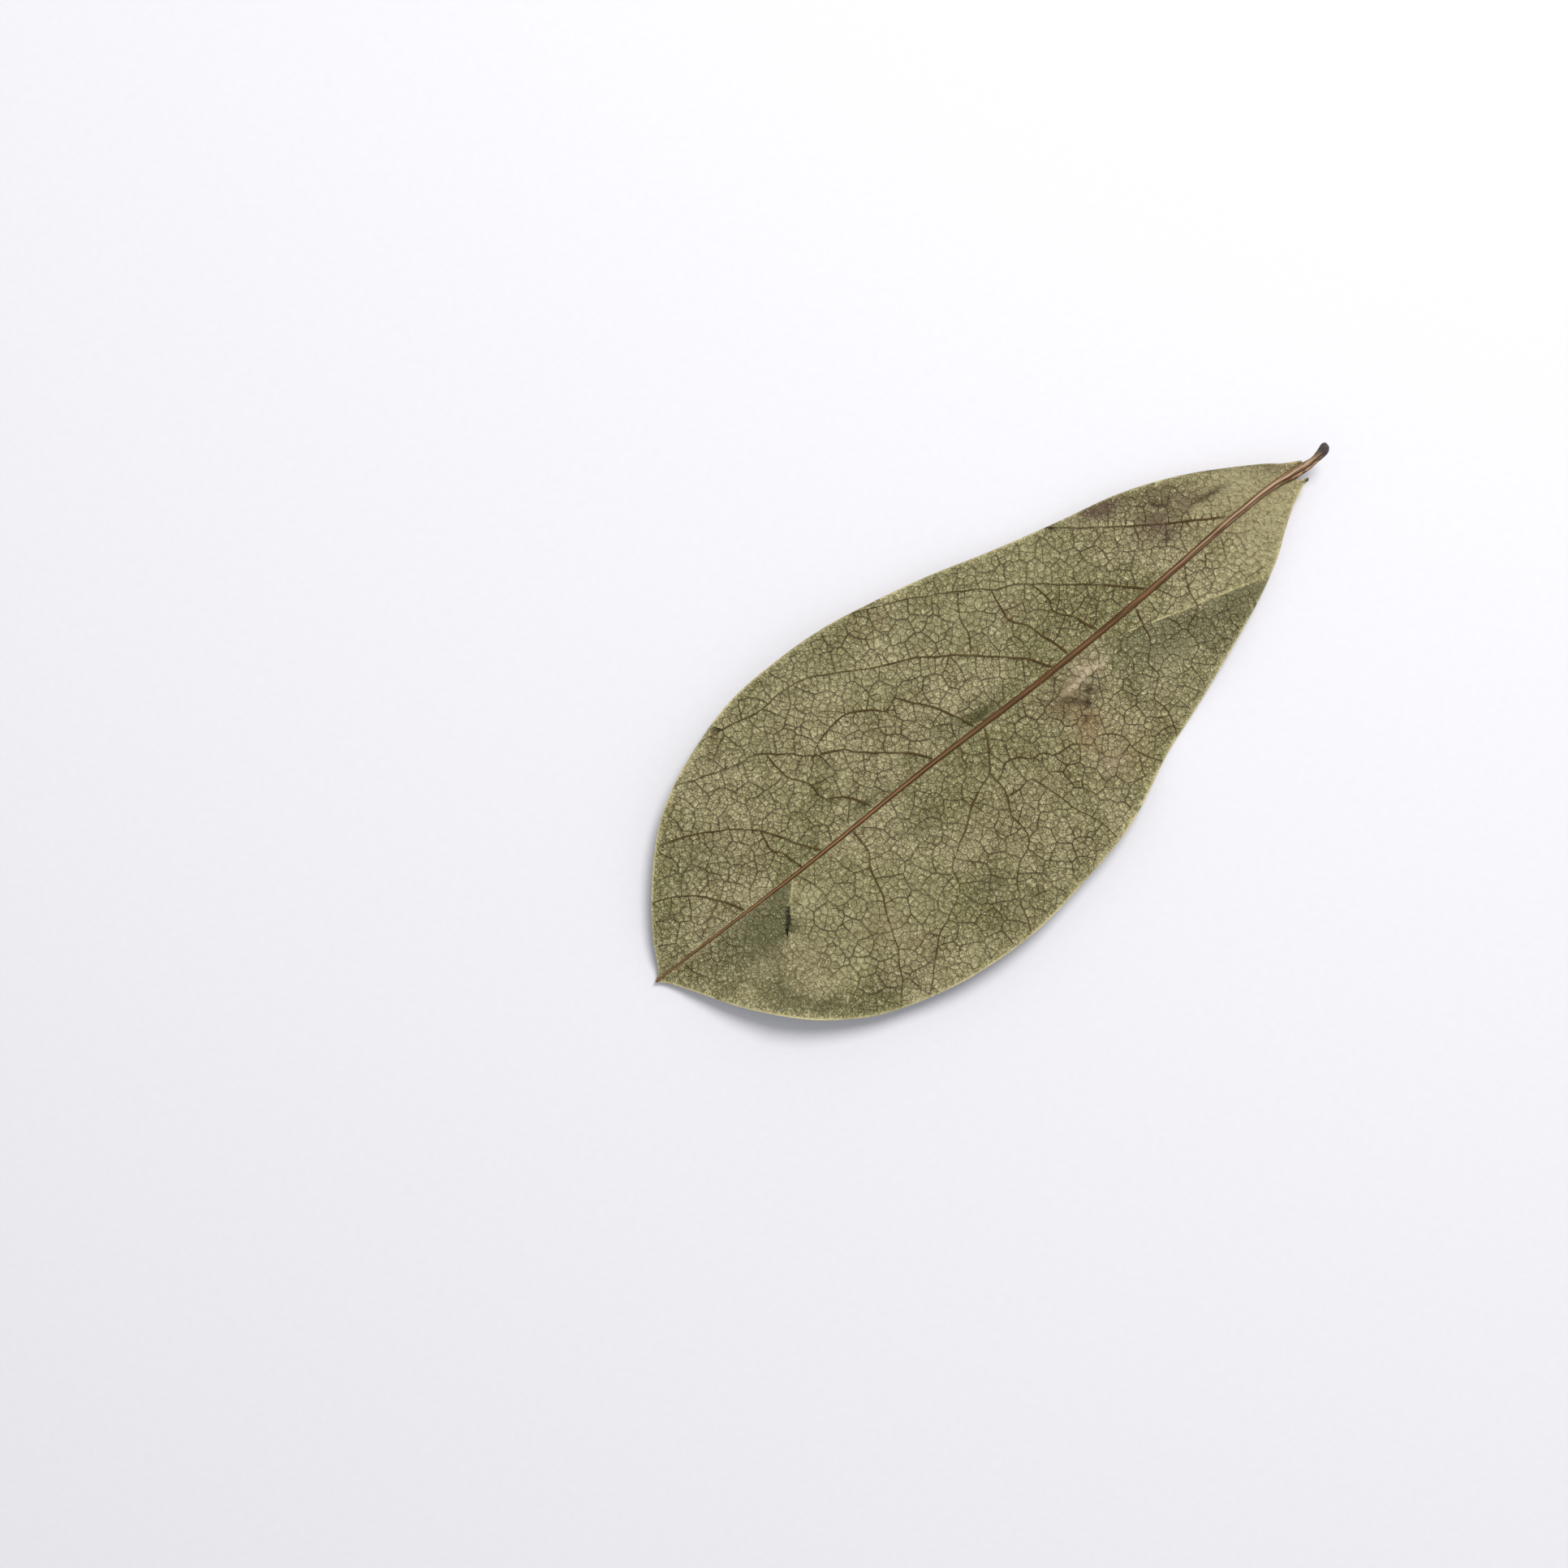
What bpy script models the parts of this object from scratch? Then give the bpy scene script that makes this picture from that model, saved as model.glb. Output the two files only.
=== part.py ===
"""A dried leaf that lies with its underside up.

The leaf grew as one piece: a short stalk runs into a raised midrib, and the thin blade on both sides carries
side veins and a raised net. Stations are measured along the midrib from the blade's base towards its tip,
and offsets across it, both in millimetres. The midrib lies along X, and the leaf rests on a small flat spot.
"""
import math
import random

import bmesh
import bpy
import numpy as np
from mathutils import Vector, geometry, noise

MM = 0.001

# Driving sizes in millimetres.
BLADE_THICKNESS = 0.65
TIP_STATION = 140.6
STALK_STATION = -4.6
REST_STATION, REST_OFFSET = 75.8, 1.0
REST_LENGTH, REST_WIDTH, REST_STEP = 30.0, 14.0, 0.15

# Spacing of the plan in millimetres.
MARGIN_STEP = 2.7
VEIN_STEP = 2.6
NET_SPACING = 4.5
RIB_STEP = 4.0
STALK_STEP = 0.8
RIM_WIDTH = 0.7
NET_SEED, TRIES_PER_SEED, FEWEST_TRIES = 11, 12, 40
CREASE_STEP = 1.6
LEFT_START, RIGHT_START = -0.1, 1.6
VEIN_RUN_ON, END_GAP = 12.0, 0.3
# Shares of the net's spacing: how far its cells' middles stay off a line, how far the lines mirror them, how
# near to a line a loose corner and a border corner move onto it, and the shortest side that is left.
SEED_CLEARANCE, MIRROR_REACH = 0.38, 3.0
LOOSE_PULL, BORDER_PULL, SHORTEST_SIDE = 0.15, 0.8, 0.35

# The margin on each side, as (station, distance from the midrib).
LEFT_MARGIN = (
    (-0.1, 1.15), (2.4, 2.6), (7.0, 5.85), (16.7, 11.65), (27.0, 15.9), (38.8, 18.9), (51.0, 22.2),
    (61.9, 25.5), (71.8, 27.9), (81.0, 29.6), (90.3, 30.2), (100.8, 29.8), (111.5, 26.9),
    (119.9, 23.2), (125.4, 19.2), (131.2, 13.2), (135.6, 7.6), (138.2, 3.2), (139.6, 1.2),
)
RIGHT_MARGIN = (
    (1.6, 1.3), (5.5, 4.1), (9.5, 6.8), (13.3, 9.5), (20.3, 13.1), (28.9, 16.6), (40.1, 21.0),
    (48.3, 23.8), (56.7, 27.4), (63.2, 29.6), (72.0, 31.4), (83.9, 33.0), (95.5, 32.5), (105.6, 30.6),
    (114.7, 27.3), (122.1, 22.3), (127.2, 17.3), (132.0, 11.6), (136.0, 5.6), (138.2, 2.4), (139.6, 0.6),
)

# The midrib and stalk, as (station, value): sideways bend, half width, and height above the blade's middle.
RIB_BEND = (
    (-4.6, -0.4), (-3.2, 0.05), (-1.6, 0.3), (1.0, 0.1), (6.0, -0.6), (14.0, -0.65), (28.0, 0.0),
    (60.0, 0.5), (80.0, 0.0), (107.0, 0.1), (141.0, -0.5),
)
RIB_HALF_WIDTH = (
    (-4.6, 0.7), (-4.1, 0.95), (-3.2, 0.85), (-1.8, 0.68), (0.4, 0.95), (6.0, 0.68), (16.0, 0.62),
    (40.0, 0.58), (80.0, 0.46), (115.0, 0.32), (141.0, 0.2),
)
RIB_CROWN = (
    (-4.6, 0.7), (-4.1, 0.95), (-3.2, 0.85), (-1.8, 0.72), (0.4, 0.95), (6.0, 1.05),
    (40.0, 0.92), (80.0, 0.76), (108.5, 0.64), (113.0, 0.46), (141.0, 0.38),
)
STALK_BELLY = ((-4.6, 0.65), (-4.1, 0.9), (-1.8, 0.72), (0.0, 0.7), (2.8, 0.45), (5.2, 0.325))
STALK_EDGE = ((-4.6, 0.1), (-1.6, 0.1), (-0.3, 0.325))
RIB_ACROSS = (-1.0, -0.6, 0.0, 0.6, 1.0)
FIRST_RIB_ROW, STALK_END, FOOT_GAP = 0.6, -0.5, 0.4

# The side veins on each side, as (station, distance from the midrib). Each runs from the first line that it
# crosses to the second, so a vein that ends on another one comes after it.
LEFT_VEINS = (
    ((5.0, -1.0), (11.5, 5.0), (18.0, 9.4), (24.5, 14.0)),
    ((12.6, -1.0), (15.3, 1.4), (20.5, 4.7), (28.3, 9.9), (34.0, 14.0), (38.2, 17.2)),
    ((32.0, -1.0), (38.8, 6.1), (51.1, 15.7), (58.6, 20.0), (66.0, 24.5)),
    ((50.0, -1.5), (51.9, 4.2), (54.1, 10.7), (54.6, 16.8)),
    ((53.0, -1.5), (59.9, 7.2), (70.9, 15.6), (83.1, 22.0), (95.1, 25.4), (103.1, 25.8), (109.0, 27.0)),
    ((70.5, -1.5), (75.1, 7.9), (79.5, 12.6), (86.5, 16.2), (94.0, 20.4), (101.0, 24.6)),
    ((79.0, -1.5), (85.4, 6.3), (93.7, 12.9), (103.0, 18.3), (112.0, 20.6), (120.0, 22.0)),
    ((93.0, -1.5), (95.2, 6.2), (100.0, 11.8), (107.0, 18.6)),
    ((108.6, -1.5), (110.8, 7.6), (115.5, 12.2), (121.0, 15.6), (126.0, 17.6)),
    ((120.0, -1.5), (123.8, 5.0), (128.4, 9.4), (133.0, 11.4)),
)
RIGHT_VEINS = (
    ((24.6, -1.5), (27.9, 4.0), (33.5, 11.0), (38.0, 16.5), (42.0, 21.0)),
    ((36.2, -1.5), (37.8, 3.6), (40.0, 10.0), (44.0, 15.5), (52.0, 24.5)),
    ((52.0, -1.5), (53.0, 5.0), (55.3, 10.4), (58.6, 16.3), (64.0, 22.0), (72.0, 29.0)),
    ((68.0, -1.5), (70.8, 3.8), (74.6, 7.3), (83.2, 12.9), (91.0, 17.9), (99.0, 23.0), (107.0, 28.5)),
    ((73.8, 5.0), (74.2, 11.4), (77.2, 17.0), (83.0, 23.5), (92.0, 31.0)),
    ((82.0, -1.5), (82.9, 4.3), (82.2, 9.4)),
    ((94.6, -1.5), (97.7, 4.2), (102.7, 9.7), (108.5, 15.4), (118.0, 24.0)),
    ((103.4, -1.5), (106.6, 4.2), (111.5, 9.8), (116.6, 15.2), (123.0, 21.4)),
    ((120.4, -1.5), (123.6, 3.4), (127.6, 7.6), (132.4, 11.0)),
)
VEIN_HALF_WIDTH, VEIN_HEIGHT = 0.34, 0.32
NET_HALF_WIDTH, NET_HEIGHT = 0.3, 0.2
VEIN_FADE, NARROW_BLADE = 0.45, 6.0
LONGEST_MITRE, STRAIGHT_TURN, SLIGHTEST_TURN = 0.42, 0.25, 0.05
WIDTH_SCALES = (1.0, 0.7, 0.5, 0.3, 0.15)

# The crease near the tip on the right, with a torn slit along the stretch between two stations.
CREASE = ((110.2, -1.5), (113.4, 1.8), (115.2, 3.3), (116.4, 5.2), (118.4, 7.2), (122.3, 11.8), (128.0, 18.0))
SLIT_START, SLIT_END = 114.6, 118.6
SLIT_HALF_WIDTH = 0.3

# The relaxed sheet's form in millimetres: how the sides and the ends lift, and how the stalk curls up.
VALLEY_SLOPE, SIDE_CURL = 0.045, 0.0021
END_CURL, END_START = 0.0006, 12.0
STALK_CURL, STALK_CURL_START = 0.035, 4.0
TIP_RISE, TIP_DROP, TIP_RAMP, TIP_RAMP_SOFTNESS = 0.1, 0.25, 22.0, 4.0
CREASE_SOFTNESS, SOFTEST_CREASE = 0.5, 4.0
# A slope past a straight line on the right, which fades in and out between stations.
STRIP_START, STRIP_END, STRIP_SLOPE, STRIP_SOFTNESS = (38.9, 3.8), (16.2, 10.8), 0.11, 0.7
STRIP_FADES_IN, STRIP_FADES_OUT = (8.0, 18.0), (62.0, 42.0)
# Puckers as (station, offset, half length, half width, height).
PUCKERS = (
    (53.0, 8.0, 10.0, 8.0, 0.7), (51.8, 4.6, 5.0, 1.7, 0.7), (52.4, 8.1, 1.9, 1.7, -0.9),
    (55.6, 10.6, 3.2, 2.8, 0.45), (85.8, 20.5, 6.0, 5.0, -0.4), (40.5, -8.5, 7.0, 4.0, 0.4),
)
COCKLE_HEIGHT, COCKLE_LENGTH, COCKLE_WIDTH = 0.35, 17.0, 11.0
COCKLE_LAYER = 0.5
# The margin's waves: height, narrowest blade, and each side's wavelength and phase.
WAVE_HEIGHT, WAVE_NARROWEST, LEFT_WAVE, RIGHT_WAVE = 0.45, 4.0, (27.0, 0.6), (33.0, 2.4)
LOWEST_EDGE = 0.05
SHARP_EDGE = 50.0

FOOT, MARGIN, VEIN, NET, FOLD, SLIT = range(6)


def smooth_at(table, station):
    """The value at a station on a smooth curve through a table's (station, value) pairs."""
    stations = [row[0] for row in table]
    values = [row[1] for row in table]
    if station <= stations[0]:
        return values[0]
    if station >= stations[-1]:
        return values[-1]
    here = int(np.searchsorted(stations, station, side="right")) - 1
    slopes = np.gradient(values, stations)
    span = stations[here + 1] - stations[here]
    part = (station - stations[here]) / span
    rise = part**2 * (3 - 2 * part)
    leave = part * (1 - part) ** 2 * span * slopes[here]
    arrive = part**2 * (part - 1) * span * slopes[here + 1]
    return values[here] * (1 - rise) + values[here + 1] * rise + leave + arrive


def curve_through(corners, step):
    """Points about a step apart on a smooth curve through the corners."""
    corners = np.array(corners, dtype=float)
    padded = np.vstack([2 * corners[0] - corners[1], corners, 2 * corners[-1] - corners[-2]])
    points = []
    for before, start, end, after in zip(padded, padded[1:], padded[2:], padded[3:]):
        count = max(1, round(float(np.linalg.norm(end - start)) / step))
        for part in np.arange(count) / count:
            turn = 2 * before - 5 * start + 4 * end - after
            twist = 3 * start - before - 3 * end + after
            points.append(start + 0.5 * part * (end - before + part * (turn + part * twist)))
    points.append(corners[-1])
    return np.array(points)


def ramp(low, high, value):
    """A smooth step from 0 at low to 1 at high."""
    part = min(1.0, max(0.0, (value - low) / (high - low)))
    return part * part * (3 - 2 * part)


def bend_over(distance, softness):
    """Zero before a line and the distance past it after, with a soft turn."""
    return softness * math.log1p(math.exp(min(40.0, distance / softness)))


def past_line(start, end, station, offset):
    """How far a place lies to the right of the line from start to end."""
    along_s, along_t = end[0] - start[0], end[1] - start[1]
    return (along_s * (offset - start[1]) - along_t * (station - start[0])) / math.hypot(along_s, along_t)


def margin_distance(station, offset):
    """The blade's width from midrib to margin at a station, on the side of the offset."""
    return smooth_at(LEFT_MARGIN if offset < 0 else RIGHT_MARGIN, station)


def rest_weight(station, offset):
    """0 over the flat spot that the leaf rests on, and 1 well away from it."""
    along = 2 * abs(station - REST_STATION) / REST_LENGTH
    across = 2 * abs(offset - REST_OFFSET) / REST_WIDTH
    return ramp(1.0, 2.0, max(along, across))


def tip_fold(station, offset):
    """The rise towards the crease near the tip and the drop beyond it, sharp only on the right."""
    softness = CREASE_SOFTNESS if offset > 0 else CREASE_SOFTNESS + min(SOFTEST_CREASE, -offset)
    mirrored = abs(offset)
    beyond = -past_line(CREASE[0], CREASE[-1], station, mirrored)
    rise = TIP_RISE * bend_over(beyond + TIP_RAMP, TIP_RAMP_SOFTNESS)
    return rise - TIP_DROP * bend_over(beyond, softness)


def margin_wave(station, offset):
    """The slow waves of the margin, which fade towards the midrib."""
    share = min(1.0, abs(offset) / max(WAVE_NARROWEST, margin_distance(station, offset)))
    length, phase = LEFT_WAVE if offset < 0 else RIGHT_WAVE
    return WAVE_HEIGHT * share**3 * (1 + math.sin(2 * math.pi * station / length + phase))


def sheet_height(station, offset):
    """Height of the blade's lower face above the surface that the leaf lies on."""
    weight = rest_weight(station, offset)
    if weight == 0.0:
        return 0.0
    height = VALLEY_SLOPE * abs(offset) + SIDE_CURL * offset**2
    height += END_CURL * max(0.0, abs(station - REST_STATION) - END_START) ** 2
    height += STALK_CURL * max(0.0, STALK_CURL_START - station) ** 2
    height += tip_fold(station, offset) + margin_wave(station, offset)
    cockle = Vector((station / COCKLE_LENGTH, offset / COCKLE_WIDTH, COCKLE_LAYER))
    height += COCKLE_HEIGHT * noise.noise(cockle)
    if offset > 0:
        drop = STRIP_SLOPE * bend_over(-past_line(STRIP_START, STRIP_END, station, offset), STRIP_SOFTNESS)
        height -= drop * ramp(*STRIP_FADES_IN, station) * ramp(*STRIP_FADES_OUT, station)
    for centre_s, centre_t, length, width, lift in PUCKERS:
        away = ((station - centre_s) / length) ** 2 + ((offset - centre_t) / width) ** 2
        height += lift * math.exp(-away)
    return weight * max(LOWEST_EDGE, height)


def rib_point(station, across):
    """A plan point on the midrib, across from -1 at its left foot to 1 at its right foot."""
    return np.array([station, smooth_at(RIB_BEND, station) + across * smooth_at(RIB_HALF_WIDTH, station)])


def cross(first, second):
    return first[0] * second[1] - first[1] * second[0]


def crossings(path, wall):
    """Every place where a path crosses a wall, as (distance along the path in segments, point)."""
    found = []
    for index, (start, end) in enumerate(zip(path, path[1:])):
        for wall_start, wall_end in zip(wall, wall[1:]):
            run, side = end - start, wall_end - wall_start
            scale = cross(run, side)
            if abs(scale) < 1e-12:
                continue
            along = cross(wall_start - start, side) / scale
            wall_along = cross(wall_start - start, run) / scale
            if 0 <= along < 1 and 0 <= wall_along < 1:
                found.append((index + along, start + along * run))
    return found


def between_walls(path, walls):
    """The part of a path from the first line that it crosses to the second."""
    end_run = path[-1] - path[-2]
    path = np.vstack([path, path[-1] + end_run / np.linalg.norm(end_run) * VEIN_RUN_ON])
    found = sorted((place for wall in walls for place in crossings(path, wall)), key=lambda place: place[0])
    (start, start_point), (end, end_point) = found[0], found[1]
    middle = [point for index, point in enumerate(path) if start + END_GAP < index < end - END_GAP]
    return np.array([start_point, *middle, end_point])


def nearest_on(wall, points):
    """The nearest point of a wall to each of the points."""
    starts, runs = wall[:-1], np.diff(wall, axis=0)
    along = np.einsum("pwc,wc->pw", points[:, None] - starts[None], runs) / np.einsum("wc,wc->w", runs, runs)
    places = starts[None] + np.clip(along, 0, 1)[..., None] * runs[None]
    nearest = np.argmin(((places - points[:, None]) ** 2).sum(axis=2), axis=1)
    return places[np.arange(len(points)), nearest]


def with_stops(line, stops):
    """A line with the stops that lie on it added in their places."""
    points = [line[0]]
    for start, end in zip(line, line[1:]):
        run = end - start
        along = (stops - start) @ run / (run @ run)
        away = np.linalg.norm(start + along[:, None] * run - stops, axis=1)
        for index in np.argsort(along):
            if away[index] < 1e-6 and 1e-6 < along[index] < 1 - 1e-6:
                points.append(stops[index])
        points.append(end)
    return np.array(points)


def inside(outline, points):
    """Which of the points lie inside a closed outline."""
    result = np.zeros(len(points), dtype=bool)
    for start, end in zip(outline, np.roll(outline, -1, axis=0)):
        spans = (start[1] > points[:, 1]) != (end[1] > points[:, 1])
        rise = end[1] - start[1] if end[1] != start[1] else 1.0
        crossing = start[0] + (points[:, 1] - start[1]) * (end[0] - start[0]) / rise
        result ^= spans & (points[:, 0] < crossing)
    return result


def scatter(outline, walls, spacing, draw):
    """Random points in an outline, at least a spacing apart and half a spacing from its walls."""
    low, high = outline.min(axis=0), outline.max(axis=0)
    tries = int(TRIES_PER_SEED * np.prod(high - low) / spacing**2) + FEWEST_TRIES
    points = [(draw.uniform(low[0], high[0]), draw.uniform(low[1], high[1])) for _ in range(tries)]
    points = np.array(points)
    points = points[inside(outline, points)]
    for wall in walls:
        if len(points):
            clear = np.linalg.norm(nearest_on(wall, points) - points, axis=1)
            points = points[clear > SEED_CLEARANCE * spacing]
    kept = []
    for point in points:
        if all(np.hypot(*(point - other)) > spacing for other in kept):
            kept.append(point)
    return kept


def circle_centre(first, second, third):
    """The centre of the circle through three points, or None where they lie in a line."""
    side, other = second - first, third - first
    scale = 2 * cross(side, other)
    if abs(scale) < 1e-9:
        return None
    lengths = side @ side, other @ other
    return first + np.array([other[1] * lengths[0] - side[1] * lengths[1],
                             side[0] * lengths[1] - other[0] * lengths[0]]) / scale


def cell_edges(seeds, outline, walls, spacing):
    """The edges between the cells nearest to each seed, ended on the walls of the area."""
    seeds = np.array(seeds)
    ghosts = []
    for wall in walls:
        mirrored = 2 * nearest_on(wall, seeds) - seeds
        close = np.linalg.norm(mirrored - seeds, axis=1) < MIRROR_REACH * spacing
        ghosts += list(mirrored[close & ~inside(outline, mirrored)])
    places = [Vector(point) for point in [*seeds, *ghosts]]
    verts, _, faces, origins, _, _ = geometry.delaunay_2d_cdt(places, [], [], 0, 1e-6)
    real = [any(origin < len(seeds) for origin in source) for source in origins]
    sides = {}
    for face in faces:
        centre = circle_centre(*(np.array(verts[corner]) for corner in face))
        if centre is not None:
            for start, end in zip(face, face[1:] + face[:1]):
                if real[start] and real[end]:
                    on_wall = not all(real[corner] for corner in face)
                    sides.setdefault((min(start, end), max(start, end)), []).append((centre, on_wall))
    edges = []
    for ends in sides.values():
        if len(ends) == 2:
            placed = [settle(centre, on_wall, walls, spacing) for centre, on_wall in ends]
            middle = (placed[0] + placed[1]) / 2
            if inside(outline, middle[None])[0]:
                edges.append(placed)
    return edges


def settle(centre, on_wall, walls, spacing):
    """A cell's corner, moved onto the nearest wall if it belongs there."""
    places = [nearest_on(wall, centre[None])[0] for wall in walls]
    nearest = min(places, key=lambda place: np.hypot(*(place - centre)))
    pull = BORDER_PULL if on_wall else LOOSE_PULL
    return nearest if np.hypot(*(nearest - centre)) < pull * spacing else centre


def without_short_edges(edges, walls, shortest):
    """The edges with the shortest ones closed up, and with no loose ends."""
    points, index_of, pairs = [], {}, []
    for edge in edges:
        pair = []
        for point in edge:
            key = (round(float(point[0]), 4), round(float(point[1]), 4))
            if key not in index_of:
                index_of[key] = len(points)
                points.append(np.array(point))
            pair.append(index_of[key])
        pairs.append(pair)
    spots = np.array(points)
    fixed = np.zeros(len(spots), dtype=bool)
    for wall in walls:
        fixed |= np.linalg.norm(nearest_on(wall, spots) - spots, axis=1) < 1e-6
    owner = list(range(len(spots)))

    def find(index):
        while owner[index] != index:
            index = owner[index]
        return index

    by_length = sorted(pairs, key=lambda pair: np.hypot(*(spots[pair[0]] - spots[pair[1]])))
    for start, end in by_length:
        start, end = find(start), find(end)
        if start != end and np.hypot(*(spots[start] - spots[end])) < shortest:
            if fixed[end]:
                start, end = end, start
            if not fixed[start]:
                spots[start] = (spots[start] + spots[end]) / 2
            owner[end] = start
    pairs = {tuple(sorted((find(start), find(end)))) for start, end in pairs if find(start) != find(end)}
    while True:
        count = np.zeros(len(spots), dtype=int)
        for pair in pairs:
            count[list(pair)] += 1
        loose = {pair for pair in pairs if any(count[end] == 1 and not fixed[end] for end in pair)}
        if not loose:
            return [(spots[start], spots[end]) for start, end in sorted(pairs)]
        pairs -= loose


def arrange(lines):
    """Cut lines of (kind, points) at their crossings into cells, each a list of (point index, edge kind)."""
    points, edges, kinds = [], [], []
    for kind, line in lines:
        for start, end in zip(line, line[1:]):
            edges.append((len(points), len(points) + 1))
            points += [Vector(start), Vector(end)]
            kinds.append(kind)
    verts, out_edges, _, _, sources, _ = geometry.delaunay_2d_cdt(points, edges, [], 0, 1e-4)
    places = [np.array(vert) for vert in verts]
    kind_of = {}
    for (start, end), source in zip(out_edges, sources):
        if source:
            kind_of[start, end] = kind_of[end, start] = min(kinds[index] for index in source)
    return places, trace_cells(places, without_loose_ends(kind_of))


def without_loose_ends(kind_of):
    """The edges that are left once those that lead nowhere are taken away."""
    while True:
        starts = [start for start, _ in kind_of]
        loose = [edge for edge in kind_of if starts.count(edge[1]) == 1]
        if not loose:
            return kind_of
        for start, end in loose:
            kind_of.pop((start, end), None)
            kind_of.pop((end, start), None)


def trace_cells(points, kind_of):
    """The closed cells of a net of edges, each anticlockwise as (point index, kind of the edge after it)."""
    around = {}
    for start, end in kind_of:
        around.setdefault(start, []).append(end)
    for start, ends in around.items():
        ends.sort(key=lambda end: math.atan2(*(points[end] - points[start])[::-1]))
    cells, seen = [], set()
    for first in kind_of:
        ring, edge = [], first
        while edge not in seen:
            seen.add(edge)
            ring.append((edge[0], kind_of[edge]))
            ends = around[edge[1]]
            edge = (edge[1], ends[ends.index(edge[0]) - 1])
        corners = [points[index] for index, _ in ring]
        if sum(cross(start, end) for start, end in zip(corners, corners[1:] + corners[:1])) > 0:
            cells.append(ring)
    return cells


class Plan:
    """Flat triangles whose corners carry how far the upper and lower faces stand off the blade's middle."""

    def __init__(self):
        self.points, self.above, self.below, self.triangles = [], [], [], []

    def add(self, point, above=0.0, below=0.0):
        self.points.append(np.array(point, dtype=float))
        self.above.append(above)
        self.below.append(below)
        return len(self.points) - 1

    def turn(self, first, second, third):
        """Twice the area of a triangle, above zero where its corners run anticlockwise."""
        return cross(self.points[second] - self.points[first], self.points[third] - self.points[first])

    def fill(self, first, second, third):
        """A triangle, wound anticlockwise."""
        if len({first, second, third}) == 3:
            if self.turn(first, second, third) <= 0:
                second, third = third, second
            self.triangles.append((first, second, third))

    def fill_strip(self, start, end, inner_end, inner_start):
        """Two triangles between a line and its foot, split along the better diagonal."""
        even = min(self.turn(start, end, inner_end), self.turn(start, inner_end, inner_start))
        odd = min(self.turn(start, end, inner_start), self.turn(end, inner_end, inner_start))
        if even >= odd:
            self.fill(start, end, inner_end)
            self.fill(start, inner_end, inner_start)
        else:
            self.fill(start, end, inner_start)
            self.fill(end, inner_end, inner_start)


def relief(kind, point):
    """Half width and height of the raised line of a kind at a point."""
    if kind == VEIN:
        fade = 1 - VEIN_FADE * min(1.0, abs(point[1]) / max(NARROW_BLADE, margin_distance(*point)))
        return VEIN_HALF_WIDTH * fade, VEIN_HEIGHT * fade
    return {
        FOOT: (0.0, 0.0), MARGIN: (RIM_WIDTH, 0.0), NET: (NET_HALF_WIDTH, NET_HEIGHT),
        FOLD: (NET_HALF_WIDTH, NET_HEIGHT), SLIT: (SLIT_HALF_WIDTH, 0.0),
    }[kind]


def inset_corner(before, corner, after, width_before, width_after):
    """The corner of a cell moved inwards by the widths of the two lines that meet there."""
    arrive, leave = corner - before, after - corner
    arrive_length, leave_length = np.hypot(*arrive), np.hypot(*leave)
    arrive, leave = arrive / arrive_length, leave / leave_length
    sine = cross(arrive, leave)
    if abs(sine) < STRAIGHT_TURN and arrive @ leave > 0:
        inward = np.array([-arrive[1] - leave[1], arrive[0] + leave[0]])
        return corner + inward / np.hypot(*inward) * (width_before + width_after) / 2
    back = min(width_after / max(abs(sine), SLIGHTEST_TURN), LONGEST_MITRE * arrive_length)
    forward = min(width_before / max(abs(sine), SLIGHTEST_TURN), LONGEST_MITRE * leave_length)
    if sine > 0:
        return corner - arrive * back + leave * forward
    return corner + arrive * back - leave * forward


def segments_cross(start, end, other_start, other_end):
    """Whether two segments cross."""
    run, other = end - start, other_end - other_start
    first = cross(run, other_start - start) * cross(run, other_end - start)
    return first < 0 and cross(other, start - other_start) * cross(other, end - other_start) < 0


def fits(corners, moved):
    """Whether a cell's moved outline has no crossing and every strip beside it lies the right way round."""
    sides = list(zip(moved, moved[1:] + moved[:1]))
    for corner, after, (start, end) in zip(corners, corners[1:] + corners[:1], sides):
        run = after - corner
        outside = min(cross(run, start - corner), cross(run, end - corner))
        if (end - start) @ run <= 0 or outside < -1e-9:
            return False
    return not any(segments_cross(*side, *other) for i, side in enumerate(sides) for other in sides[:i])


def inset_cell(corners, widths):
    """A cell's outline moved inwards by half of each line's width, or None where the cell is too narrow."""
    count = len(corners)
    for scale in WIDTH_SCALES:
        moved = []
        for i in range(count):
            around = corners[i - 1], corners[i], corners[(i + 1) % count]
            moved.append(inset_corner(*around, widths[i - 1] * scale, widths[i] * scale))
        if fits(corners, moved):
            return moved
    return None


def add_cell(plan, cell, points, vertex_at, foot):
    """The raised lines along a cell's sides and the panel between them."""
    corners = [points[index] for index, _ in cell]
    widths = [relief(kind, points[index])[0] for index, kind in cell]
    rim = [vertex_at(index) for index, _ in cell]
    inner = list(rim)
    for i, place in enumerate(inset_cell(corners, widths) or ()):
        if widths[i] or widths[i - 1]:
            inner[i] = plan.add(place)
            if FOOT in (cell[i][1], cell[i - 1][1]):
                foot.append(inner[i])
    for i, (_, kind) in enumerate(cell):
        after = (i + 1) % len(cell)
        if kind == FOOT:
            foot += [index for index in (rim[i], rim[after]) if index not in foot]
        elif kind != SLIT:
            plan.fill_strip(rim[i], rim[after], inner[after], inner[i])
    fill_panel(plan, inner)


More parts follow.
